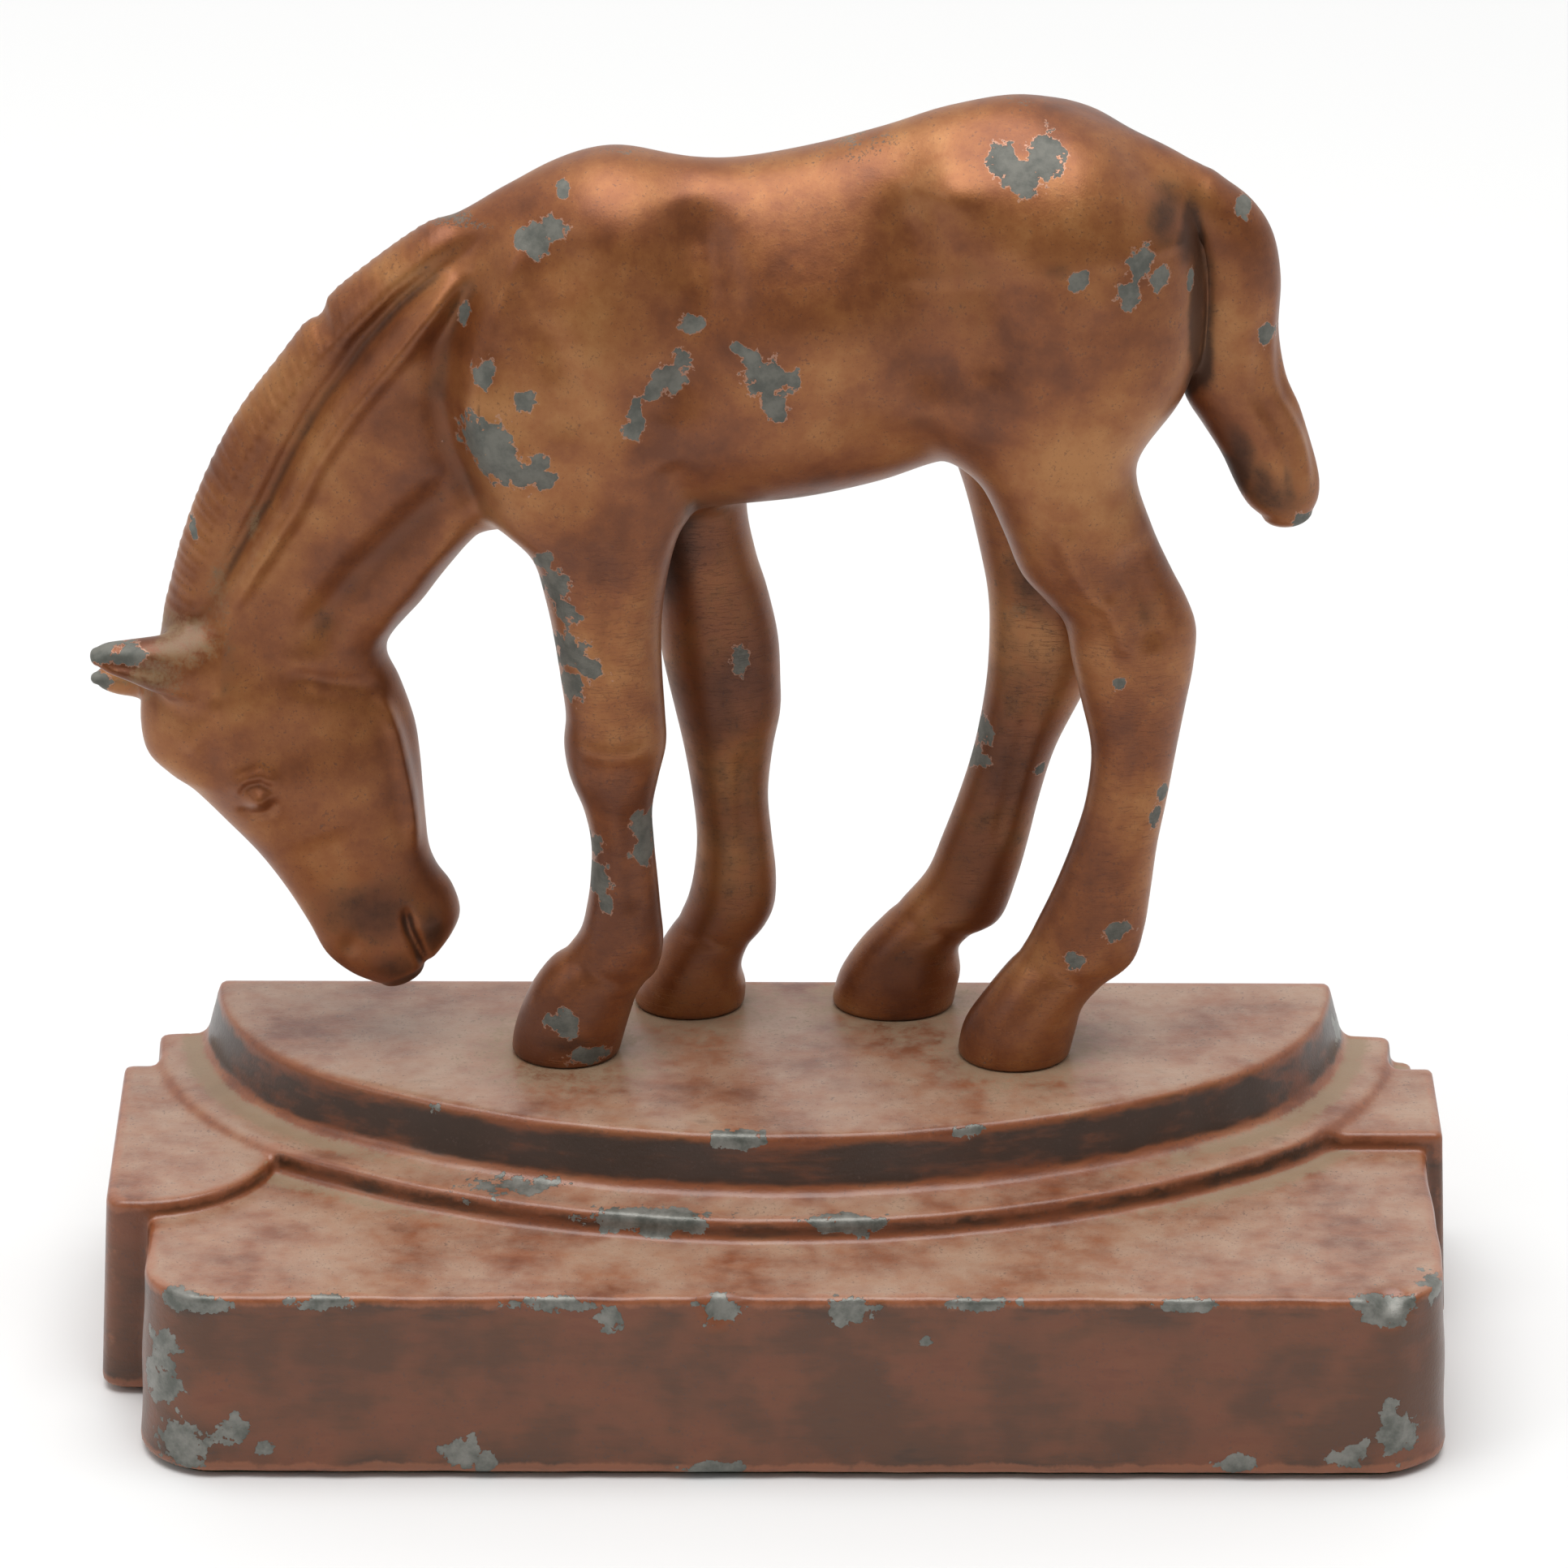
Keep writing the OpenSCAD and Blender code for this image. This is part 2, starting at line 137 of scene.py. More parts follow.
# %% Where a point lies along a run
def place_on_run(run, x, z):
    """For points seen from the side: how far across the ring, the ring's sizes, and what is past an end."""
    x, z = np.broadcast_arrays(x, z)
    best = np.full(x.shape, 1e6)
    found = [np.zeros(x.shape) for _ in range(7)]
    frames = [ring_frame(r) for r in run]
    first_m, last_m = frames[0][0], frames[-1][0]
    turn = np.sign((frames[1][0] - first_m) @ (-frames[0][1][1], frames[0][1][0]))

    def ahead_of(i):
        middle, reach, size = frames[i]
        return turn * (reach[0] * (z - middle[1]) - reach[1] * (x - middle[0])) / size

    last = len(run) - 1
    here = ahead_of(0)
    for i in range(last):
        there = ahead_of(i + 1)
        share = np.clip(here / np.where(np.abs(here - there) < 1e-9, 1e-9, here - there), 0, 1)
        (m0, r0, _), (m1, r1, _) = frames[i], frames[i + 1]
        rx, rz = r0[0] + share * (r1[0] - r0[0]), r0[1] + share * (r1[1] - r0[1])
        across = ((x - m0[0] - share * (m1[0] - m0[0])) * rx
                  + (z - m0[1] - share * (m1[1] - m0[1])) * rz) / (rx * rx + rz * rz)
        past = np.maximum(-here if i == 0 else 0, there if i == last - 1 else 0)
        past = np.maximum(past, 0)
        fits = ((here >= 0) | (i == 0)) & ((there < 0) | (i == last - 1))
        cost = np.abs(across) + past / 2
        better = fits & (cost < best)
        best = np.where(better, cost, best)
        sizes = [run[i][k] + share * (run[i + 1][k] - run[i][k]) for k in (4, 5, 6)]
        values = [across, np.hypot(rx, rz), *sizes, past, i + share]
        found = [np.where(better, new, old) for new, old in zip(values, found)]
        here = there
    return found


def loft(run, x, y, z, end=2.0):
    """Distance to the skin of a run of rings. `end` is how far its rounded ends stand out."""
    across, half, mid_y, wide, egg, past, _ = place_on_run(run, x, z)
    wide = np.maximum(wide * (1 + egg * np.clip(across, -1, 1)), 0.05)
    side, beyond = (y - mid_y) / wide, past / end
    k = np.sqrt(across ** 2 + side ** 2 + beyond ** 2)
    slope = np.sqrt((across / half) ** 2 + (side / wide) ** 2 + (beyond / end) ** 2)
    return k * (k - 1) / np.maximum(slope, 1e-4)


# %% Soft joins, lumps and lines
END_FADE = -0.05, 0.22  # shares of a line's length over which it comes in
FAR_OFF = 1e6


def ease(low, high, value):
    """0 below low, 1 above high, and a smooth step between."""
    t = np.clip((value - low) / (high - low), 0, 1)
    return t * t * (3 - 2 * t)


def blend(a, b, soft):
    """The union of two distances with a fillet about `soft` wide."""
    h = np.clip(0.5 + 0.5 * (b - a) / soft, 0, 1)
    return b + (a - b) * h - soft * h * (1 - h)


def cut(a, b, soft):
    """What two distances share, with the edge rounded."""
    return -blend(-a, -b, soft)


def capsule(x, y, z, start, stop):
    """Distance to a rounded bar between two balls (x, y, z, radius), on both sides of the foal."""
    s, e = np.array(start[:3]), np.array(stop[:3])
    way = e - s
    px, py, pz = x - s[0], np.abs(y) - s[1], z - s[2]
    t = np.clip((px * way[0] + py * way[1] + pz * way[2]) / (way @ way), 0, 1)
    gap = np.sqrt((px - t * way[0]) ** 2 + (py - t * way[1]) ** 2 + (pz - t * way[2]) ** 2)
    return gap - (start[3] + t * (stop[3] - start[3]))


def line_mark(points, width, x, z):
    """1 on a line of (x, z) points seen from the side, fading with distance and at both ends."""
    points = np.array(points, float)
    steps = np.hypot(*np.diff(points, axis=0).T)
    travelled, total = 0.0, steps.sum()
    gap, share = np.full(np.broadcast(x, z).shape, FAR_OFF), 0
    for a, b, size in zip(points, points[1:], steps):
        way = (b - a) / size
        t = np.clip((x - a[0]) * way[0] + (z - a[1]) * way[1], 0, size)
        here = np.hypot(x - a[0] - t * way[0], z - a[1] - t * way[1])
        share = np.where(here < gap, (travelled + t) / total, share)
        gap = np.minimum(gap, here)
        travelled += size
    return np.exp(-(gap / width) ** 2) * ease(*END_FADE, share) * ease(*END_FADE, 1 - share)


def lump_mark(spot, x, z):
    """1 at a round spot (x, z, radius across, radius up) seen from the side, fading outwards."""
    return np.exp(-((x - spot[0]) / spot[2]) ** 2 - ((z - spot[1]) / spot[3]) ** 2)


print("rings between two stations:", RING_STEPS)

# %% [markdown]
# ## The foal's rings
# Sizes here are millimetres from the top of the platform and from the foal's middle plane, as a
# modeller would measure with calipers. One run goes from the rump along the back, down the neck and
# out to the muzzle, so the three castings share one smooth line. Each leg has its own run.

# %% Runs of the body, tail and ears
spine_run = smooth_run([
    [42.6, 96, 42.2, 81, 0, 3.4], [40.6, 101, 40, 76.5, 0, 7.4], [36, 105, 36, 73, 0, 10.2],
    [31, 108, 31, 71, 0, 12], [24, 110, 24, 70, 0, 12.6, -0.05], [16, 108.8, 16, 69.2, 0, 12.2, -0.1],
    [9, 106.5, 9, 66.8, 0, 12.2, -0.12], [1, 104.2, 1, 65, 0, 12.8, -0.12],
    [-7, 102.8, -7, 64, 0, 12.7, -0.1], [-14, 103.2, -14, 63, 0, 12, -0.1],
    [-20, 103.7, -20, 62.2, 0, 11.6, -0.12], [-26, 102.3, -26, 61.4, 0, 10.6, -0.14],
    [-31, 99.9, -31, 60.8, 0, 9.4, -0.14], [-35.4, 97.2, -34, 60.2, 0, 8.4, -0.14],
    [-40, 94.8, -35.4, 59, 0, 7.8, -0.12], [-45.5, 90.7, -37, 57, 0, 7.3, -0.1],
    [-50.8, 86, -38.8, 54.6, 0, 6.9, -0.1], [-55.6, 79.6, -40.6, 52, 0, 6.5, -0.1],
    [-60, 73.4, -42.2, 50, 0, 6.2, -0.08], [-63.6, 66.2, -43.6, 48.2, 0, 6.1, -0.06],
    [-66.2, 59, -44.4, 46.8, 0, 6.1, -0.04], [-68, 52, -44.6, 45.6, 0, 6.3],
    [-69.8, 46, -44.3, 44.2, 0, 6.6], [-71.6, 41, -43.2, 41.8, -0.3, 6.8],
    [-71.3, 35.6, -41.7, 37, -0.6, 6.9], [-69, 32.8, -41.2, 33, -1, 6.8],
    [-66.4, 30.8, -41, 29.4, -1.3, 6.5, -0.04], [-62.9, 27, -40.8, 26, -1.6, 6, -0.06],
    [-59.4, 23, -40.5, 22.6, -2, 5.4, -0.06], [-56.5, 18.8, -39.6, 20.2, -2.3, 4.9, -0.04],
    [-54.1, 14.6, -38.1, 18, -2.7, 4.6], [-52.3, 11, -37.3, 15.2, -3, 4.4],
    [-50, 8.8, -38, 13, -3.1, 4], [-47.6, 7.6, -39.6, 10.9, -3.3, 3.4], [-46.4, 7.1, -41.3, 9.3, -3.3, 2.7]])
tail_run = smooth_run([
    [34, 105.4, 33, 99, 0, 2.6], [38, 104.6, 36.6, 98, 0, 3], [42, 102.9, 39.4, 96.6, 0, 3.3],
    [45.4, 100.9, 41, 94.6, 0, 3.6], [48.6, 98.4, 41, 92.2, 0, 3.9],
    [50.9, 94.8, 40.6, 90, 0, 4.1], [51.9, 89.6, 40.4, 86.8, 0, 4.2], [51.8, 83.6, 40.6, 82, 0, 4],
    [52.6, 78.6, 41.4, 76.6, 0, 3.7], [54.2, 74.8, 43.4, 72.8, 0, 3.5], [55.6, 70.8, 45.4, 69.4, 0, 3.3],
    [56.5, 66.8, 47.2, 66.1, 0, 3.1], [56.5, 64.4, 48.8, 63.6, 0, 2.8], [55.9, 62.8, 50.4, 62.2, 0, 2.4]])
near_ear_run = smooth_run([
    [-62.6, 50, -64.4, 41.6, -3.8, 2.6], [-66, 49.8, -67, 42.2, -4.5, 2.8],
    [-69.6, 49.5, -70.2, 43.5, -5, 2.7], [-72.8, 49.2, -73, 45, -5.2, 2.3],
    [-74.9, 49, -75.1, 46, -5.3, 1.8], [-76.2, 48.5, -76.2, 46.8, -5.3, 1.3]])
far_ear_run = smooth_run([
    [-64, 46, -65, 39.4, 3.2, 2.2], [-67.6, 45.6, -68.4, 39.6, 3.6, 2.3],
    [-70.8, 44.8, -71.4, 39.8, 3.8, 2.1], [-73.4, 43.8, -73.8, 40.2, 4, 1.7],
    [-75.2, 43.2, -75.3, 40.8, 4.1, 1.2], [-76, 42.6, -76, 41.4, 4.1, 0.9]])
print("spine:", len(spine_run), "rings; tail:", len(tail_run), "rings")

# %% Runs of the four legs
leg_runs = {
    "near_foreleg": smooth_run([
        [-33, 77, -9, 79, -4.6, 5], [-33.4, 70, -9.6, 72, -5.2, 6], [-32.2, 64, -11.6, 65.6, -5.8, 6.3],
        [-28.6, 59.6, -13.3, 60.4, -6, 6.2], [-27.2, 55, -14.3, 55, -6, 5.9],
        [-26.3, 50.5, -14.6, 50.5, -6, 5.6], [-25.5, 45, -14.5, 46, -6, 5.2],
        [-25, 40.8, -14.2, 41, -6, 5], [-25.2, 37.2, -14.1, 37.4, -6, 4.9],
        [-24.6, 33.6, -14.9, 33.6, -6, 4.6], [-23.1, 29.6, -15.6, 29.6, -6, 4],
        [-22.3, 25.4, -15.4, 25.4, -6, 3.6], [-22.4, 21, -15, 21, -6, 3.6],
        [-22.8, 17.8, -14.7, 17.4, -6, 3.9], [-23.5, 14.8, -14.4, 13.6, -6, 4.1],
        [-24.9, 12.7, -15, 10.4, -6, 4.1], [-27, 10.9, -16.3, 8.8, -6, 4.2],
        [-28.8, 8.3, -17.3, 7.2, -6, 4.5], [-30, 5.6, -18, 5, -6, 4.8],
        [-30.9, 2.6, -18.7, 2.4, -6, 5], [-31.2, 0, -19.3, 0, -6, 5.1], [-31.3, -1.5, -19.6, -1.5, -6, 5.1]]),
    "far_foreleg": smooth_run([
        [-24, 76, -4, 77, 4.6, 5], [-20, 68, -4.6, 68, 5.4, 5.8], [-17.6, 61, -5.4, 61, 6, 5.6],
        [-16.2, 55, -4.4, 55, 6, 5.3], [-15.4, 50, -3.1, 50.6, 6, 5], [-14.8, 44, -1.9, 45, 6, 4.9],
        [-14.1, 40.2, -1.6, 39.6, 6, 4.8], [-13.3, 36.6, -1.6, 36, 6, 4.7],
        [-12.2, 31.5, -2.4, 31.5, 6, 4.2], [-11.3, 26, -2.9, 26, 6, 3.7], [-10.8, 21, -2.5, 21, 6, 3.6],
        [-11, 17, -2, 16.4, 6, 3.8], [-11.7, 13.2, -2.1, 12.6, 6, 4.1],
        [-12.9, 10.4, -3.1, 10, 6, 4.1], [-14.4, 7.9, -5, 7.4, 6, 4.3],
        [-16.1, 4.6, -5.8, 4.8, 6, 4.7], [-17.3, 2.2, -5.3, 2.4, 6, 4.9],
        [-17.8, 0, -5.5, 0, 6, 5], [-18, -1.5, -5.6, -1.5, 6, 5]]),
    "near_hind_leg": smooth_run([
        [11.5, 92, 41, 96, -3.6, 7], [12.6, 84, 41.8, 88, -4.6, 7.6], [14.8, 76.4, 40.6, 81, -5.4, 7.4],
        [17.4, 71.6, 37.8, 75, -5.8, 6.9], [20.2, 67.4, 36.4, 69.6, -6, 6.3],
        [22.4, 62.4, 38.2, 63.4, -6, 5.7],
        [24.2, 58, 40.4, 58.4, -6, 5.2], [26.8, 54.9, 42.2, 54.8, -6, 4.9],
        [29, 52, 43.3, 51.4, -6, 4.7], [29.9, 47.6, 43.1, 47, -6, 4.5], [31, 42.8, 42.4, 42.6, -6, 4.2],
        [32.2, 37, 41.5, 37, -6, 3.9], [31.8, 31, 40.6, 31, -6, 3.7], [30.4, 25.6, 39.7, 25.6, -6, 3.7],
        [28.6, 20.4, 39.1, 20, -6, 3.9], [26.8, 16.2, 38.5, 15.4, -6.1, 4.2],
        [25.2, 12.9, 37.3, 11.5, -6.2, 4.4], [22.8, 9.8, 34.2, 8.9, -6.3, 4.5],
        [20.4, 6.4, 32, 6.2, -6.4, 4.9], [18.8, 3.6, 31.2, 3.2, -6.4, 5.2],
        [18.2, 0.6, 30.6, 0.4, -6.4, 5.3], [18.2, -1.5, 30.4, -1.5, -6.4, 5.3]]),
    "far_hind_leg": smooth_run([
        [10.5, 92, 39, 94, 3.6, 7], [11.6, 84, 38.6, 86, 4.6, 7.4], [13.6, 76, 37, 78, 5.2, 7],
        [16.2, 69, 35.2, 70, 5.8, 6.4], [18.4, 62.6, 34.4, 62.6, 6, 5.6], [20.2, 55, 35, 55, 6, 5],
        [21.1, 50, 35.4, 50, 6, 4.7], [21.3, 45, 34.4, 44.4, 6, 4.5], [21, 39, 31.9, 38.6, 6, 4.2],
        [19.9, 32, 28.9, 32, 6, 3.8], [18.3, 26, 27.2, 26, 6, 3.7], [16.4, 20.4, 26, 20.4, 6, 3.7],
        [14.9, 16.4, 24.8, 15.6, 6, 3.9], [12.7, 13.4, 23.1, 10.9, 6, 4.2],
        [9.8, 10.2, 20.2, 9.2, 6, 4.3], [7.4, 7.4, 18.5, 7.2, 6, 4.5], [5.4, 4.2, 18.7, 4.2, 6, 4.9],
        [4.6, 1.6, 18.2, 1.6, 6, 5.1], [4.4, 0, 18, 0, 6, 5.2], [4.4, -1.5, 17.9, -1.5, 6, 5.2]]),
}
for leg_name, leg_run in leg_runs.items():
    print(leg_name, len(leg_run), "rings")

# %% [markdown]
# ## Muscles, creases and the mane
# The modeller's touch is a list of small numbers. A bar of muscle is joined on softly, a line is
# pressed in or raised, and a spot swells or sinks. Lines and spots are drawn as seen from the side
# and fade out near the middle plane, so the outline of the back stays clean. The mane is a band
# under the crest, combed with fine grooves that follow the rings.

# %% Muscle bars, lines and spots
muscles = [
    [(-26, 4.4, 78, 6.6), (-20, 2.4, 94, 7.4)], [(-29, 4.6, 71, 5), (-19, 5.6, 72, 5.4)],
    [(27, 3.8, 95, 8.4), (31, 4.4, 82, 7.8)], [(17, 6.2, 99, 4), (28, 4, 99, 7)],
    [(20.5, 5.4, 79, 6.2), (28, 4.4, 87, 8)], [(33.4, 3.2, 93.5, 7.6), (34.4, 3.8, 82.5, 7.2)]]
# Each line is (height, width, points); a height below zero presses the line in.
body_lines = [
    (-2, 2.3, [(-31, 95.6), (-35, 90.6), (-37.6, 84), (-38.4, 78), (-37.4, 72), (-34.6, 67.4), (-31, 64.6)]),
    (1.2, 2.1, [(-28.2, 98), (-31.6, 92), (-34, 85), (-34.6, 78), (-33.6, 71)]),
    (-1.8, 3.2, [(-11.5, 101), (-9.8, 92), (-11, 84), (-14, 77)]),
    (-1.7, 3.5, [(12.5, 103), (12, 95), (13.2, 86), (15.5, 79)]),
    (-0.8, 2.6, [(-30, 67), (-23, 69.5), (-15, 68), (-9, 70)]),
    (-1, 1.6, [(-14, 73), (-12.4, 68), (-11.4, 64)]),
    (-0.7, 2.6, [(20, 97), (22, 89), (20, 82)]),
    (-0.5, 2.4, [(31, 92), (32, 84), (31, 76)]),
    (-0.5, 2, [(-28, 90), (-24, 82), (-25, 75)]),
    (1.8, 1.6, [(-31, 94.5), (-36.6, 90.2), (-40.1, 86.4), (-43.6, 82.2), (-48, 76.6), (-51.6, 70.9),
                (-54.3, 65.2), (-57.9, 59.5), (-60.7, 54.7), (-63.4, 49)]),
    (-1.3, 1.2, [(-32, 96.4), (-38.6, 91.6), (-42.6, 88), (-46.6, 83.2), (-50.8, 77.2), (-54.4, 71),
                 (-57.2, 65), (-60.4, 59), (-63.2, 53.4), (-65.6, 47.4)]),
    (-1.6, 2.4, [(-34.8, 70), (-37.4, 67.5), (-42.2, 62.6), (-47.3, 57), (-51.6, 51.4), (-54.8, 46.6)]),
    (0.5, 1.6, [(-36, 62), (-40, 57.4), (-44, 51.6), (-46.6, 46)])]
body_lumps = [
    (1.6, (1.6, 89, 8, 7.4)), (0.7, (-21, 83, 6, 7)), (0.8, (-31, 72, 4, 4)), (0.8, (16.5, 103.4, 3.4, 2.6)),
    (0.7, (27, 95, 6, 6)), (-0.7, (8, 75, 6, 4)), (0.6, (24, 78, 5, 4)), (-0.6, (-24, 94, 3, 3))]
head_lines = [
    (-0.9, 0.7, [(-41, 8.6), (-42.2, 11.4), (-43.4, 14.4), (-44, 17.4)]),
    (-0.45, 0.6, [(-62, 30), (-60.4, 29.2), (-58.8, 29.6), (-57.8, 31.2)]),
    (0.45, 0.7, [(-62.6, 31.6), (-61.6, 33.6), (-59.6, 34.2), (-57.6, 33)]),
    (-0.3, 0.5, [(-61.8, 32), (-60.8, 33), (-59.4, 33.1), (-58.2, 32.2)]),
    (-0.35, 3, [(-53, 27), (-50.6, 21.4), (-47, 18)]),
    (0.9, 1, [(-45.8, 42), (-44.2, 37), (-42.9, 30), (-42.1, 23)]),
    (-0.7, 1.4, [(-56, 45.2), (-51.4, 43.6), (-47, 42.4), (-44.6, 42.8)]),
    (0.4, 1.2, [(-67.6, 36.3), (-65.6, 39.6), (-63.8, 43)])]
head_lumps = [
    (0.7, (-60, 31.5, 2.5, 2.2)), (0.8, (-59.9, 31.2, 0.95, 0.85)), (0.6, (-48.4, 33.4, 5.6, 6.4)),
    (-0.35, (-50, 12.6, 0.9, 1.3)), (0.6, (-40.4, 15.4, 2, 2)), (-0.4, (-64.8, 35, 1.6, 1.8)),
    (-0.25, (-55.6, 37, 3, 3)), (0.4, (-47, 9.6, 2.4, 1.8))]


FLANK = 0.8, 4  # the relief comes in over this distance from the middle plane


def modelled(distance, x, y, z, lines, lumps, middle_y=0.0):
    """The distance with lines and spots pressed in or raised on both flanks."""
    flank = ease(*FLANK, np.abs(y - middle_y))
    relief = sum(h * line_mark(points, width, x, z) for h, width, points in lines)
    relief = relief + sum(h * lump_mark(spot, x, z) for h, spot in lumps)
    return distance - relief * flank


# %% The body with its mane
MUSCLE_FILLET = 5.0
HEAD_MIDDLE_Y = -1.6
MANE_BAND = 0.72, 0.84  # how far across the ring the mane begins
MANE_START = 66, 70  # rings along the spine, from the withers
MANE_STOP = 108  # the ring at the poll
MANE_HEIGHT, COMB_DEPTH = 0.5, 0.045
MANE_NOTCH = -51.2, 85.2, 1.3, 1.5


def body(x, y, z):
    across, *_, along = place_on_run(spine_run, x, z)
    skin = loft(spine_run, x, y, z, end=1.1)
    for start, stop in muscles:
        skin = blend(skin, capsule(x, y, z, start, stop), MUSCLE_FILLET)
    skin = modelled(skin, x, y, z, body_lines, body_lumps)
    skin = modelled(skin, x, y, z, head_lines, head_lumps, HEAD_MIDDLE_Y)
    mane = ease(*MANE_BAND, across) * ease(*MANE_START, along) * ease(-1, 3, MANE_STOP - along)
    comb = np.sin(along * 6.9 + 0.9 * np.sin(along * 1.3)) + 0.6 * np.sin(along * 11.3 + 2 * across)
    return skin - mane * (MANE_HEIGHT + COMB_DEPTH * comb) + 0.9 * lump_mark(MANE_NOTCH, x, z)


# %% Legs and hooves
leg_lines = {
    "near_foreleg": [(-0.45, 1, [(-18.2, 32), (-18, 26), (-18, 18)]),
                     (-0.6, 1.1, [(-21, 64), (-20, 56), (-20.6, 47)]),
                     (0.4, 1.2, [(-24.4, 38.6), (-20, 38), (-15.4, 38.4)]),
                     (-0.2, 0.8, [(-26.4, 12.4), (-21, 10.6), (-16.2, 9.4)])],
    "far_foreleg": [(-0.45, 1, [(-6, 33), (-6, 26), (-5.6, 18)]),
                    (-0.2, 0.8, [(-13.6, 10.6), (-9, 9.2), (-4.4, 8)])],
    "near_hind_leg": [(-0.9, 1.5, [(35, 63), (36.6, 58), (38, 54), (38.6, 50)]),
                      (0.5, 1, [(33, 57.4), (34.4, 53.6), (35.8, 49.6)]),
                      (-0.5, 1.1, [(37.4, 44), (37, 34), (35, 22)]),
                      (0.6, 1.4, [(28, 66), (30, 60), (33, 55)]),
                      (-0.2, 0.8, [(23.8, 12), (28.6, 11.2), (34.4, 9.6)])],
    "far_hind_leg": [(-0.8, 1.2, [(31, 60), (31.2, 54), (31, 48)]),
                     (-0.4, 1, [(26, 40), (24, 30), (22, 20)]),
                     (-0.2, 0.8, [(10.4, 12), (15.4, 10.6), (20.4, 9.2)])],
}
LEG_FILLET = 3.4
HOOF_EDGE = 0.7


def leg(name, x, y, z):
    """A leg's skin, flat and slightly rounded under the hoof."""
    skin = loft(leg_runs[name], x, y, z)
    skin = skin - sum(h * line_mark(points, width, x, z) for h, width, points in leg_lines[name])
    return cut(skin, -z + 0 * skin, HOOF_EDGE)


def tail(x, y, z):
    """The tail, with combed strands that run along it and wave a little."""
    across, *_, along = place_on_run(tail_run, x, z)
    skin = loft(tail_run, x, y, z, end=1.6)
    tip = 1 - ease(50, 60, along)
    strands = np.sin(across * 7 + y * 1.6 + 0.8 * np.sin(along * 0.35)) * ease(25, 45, along) * tip
    return skin - 0.2 * strands - 0.25 * np.sin(across * 3 + 1.2) * ease(12, 30, along) * tip


def ear(run, x, y, z, facing):
    """A pointed ear with a hollow on the side that it faces."""
    across, _, mid_y, _, _, _, along = place_on_run(run, x, z)
    hollow = np.exp(-(across / 0.42) ** 2) * ease(0.3, 1.4, facing * (y - mid_y)) * ease(4, 12, along)
    return loft(run, x, y, z, end=0.7) + 0.9 * hollow * (1 - ease(17, 24, along))


# %% One distance for the whole foal
TAIL_FILLET, DOCK_FILLET, DOCK_Z = 0.5, 2.7, (95, 102)  # the tail melts in only near its root
EAR_FILLET = 2.2


def figure_parts(x, y, z):
    """The separate skins, by name."""
    parts = {name: leg(name, x, y, z) for name in leg_runs}
    parts["body"] = body(x, y, z)
    parts["tail"] = tail(x, y, z)
    parts["near_ear"] = ear(near_ear_run, x, y, z, -1)
    parts["far_ear"] = ear(far_ear_run, x, y, z, 1)
    return parts


def whole(parts, z, legs):
    """The skins joined: soft where muscles meet, sharp where two surfaces only touch."""
    trunk = blend(parts["body"], parts["tail"], TAIL_FILLET + DOCK_FILLET * ease(*DOCK_Z, z))
    for name in ("near_ear", "far_ear"):
        trunk = blend(trunk, parts[name], EAR_FILLET)
    skins = [blend(trunk, parts[name], LEG_FILLET) for name in legs]
    return np.minimum.reduce(skins) if skins else trunk


# %% [markdown]
# ## From distances to a mesh
# Voxels with marching cubes would give stair steps and thin slivers. Surface nets put one corner in
# every cell that the skin crosses, which gives even quads. Each corner then slides along the slope
# of the distance until it lies on the skin, and the slope is also its exact normal. A casting is
# trimmed at its joint planes afterwards and closed with a lid, so every piece is a closed solid.

# %% Surface nets
def net(field, lines):
    """Corners and quads of the surface where the field is zero, on a grid with the given lines."""
    shape = np.array(field.shape) - 1
    owner = np.full(shape, -1, np.int64)
    marks = []
    for axis in range(3):
        low = np.moveaxis(field, axis, 0)[:-1]
        high = np.moveaxis(field, axis, 0)[1:]
        spots = np.argwhere((low < 0) != (high < 0))
        a = low[tuple(spots.T)]
        b = high[tuple(spots.T)]
        others = [k for k in range(3) if k != axis]
        index = np.empty((len(spots), 3), np.int64)
        index[:, axis], index[:, others[0]], index[:, others[1]] = spots.T
        share = a / (a - b)
        place = np.stack([lines[k][index[:, k]] for k in range(3)], 1)
        step = lines[axis][index[:, axis] + 1] - lines[axis][index[:, axis]]
        place[:, axis] += share * step
        cells = []
        for d0, d1 in ((0, 0), (1, 0), (1, 1), (0, 1)):
            cell = index.copy()
            cell[:, others[0]] -= d0
            cell[:, others[1]] -= d1
            cells.append(cell)
        marks.append((axis, a < 0, place, np.stack(cells, 1)))
    every = np.concatenate([m[3].reshape(-1, 3) for m in marks])
    good = ((every >= 0) & (every < shape)).all(1)
    flat = np.ravel_multi_index(np.where(good[:, None], every, 0).T, shape)
    used, number = np.unique(flat[good], return_inverse=True)
    ids = np.full(len(every), -1)
    ids[good] = number
    total, count = np.zeros((len(used), 3)), np.zeros(len(used))
    quads, begin = [], 0
    for axis, inside, place, cells in marks:
        own = ids[begin:begin + cells.shape[0] * 4].reshape(-1, 4)
        begin += own.size
        for k in range(4):
            ok = own[:, k] >= 0
            count += np.bincount(own[ok, k], minlength=len(used))
            for c in range(3):
                total[:, c] += np.bincount(own[ok, k], place[ok, c], minlength=len(used))
        whole_quads = (own >= 0).all(1)
        flip = inside[whole_quads] == (axis != 1)
        kept = own[whole_quads]
        quads.append(np.where(flip[:, None], kept, kept[:, ::-1]))
    return total / count[:, None], np.concatenate(quads)


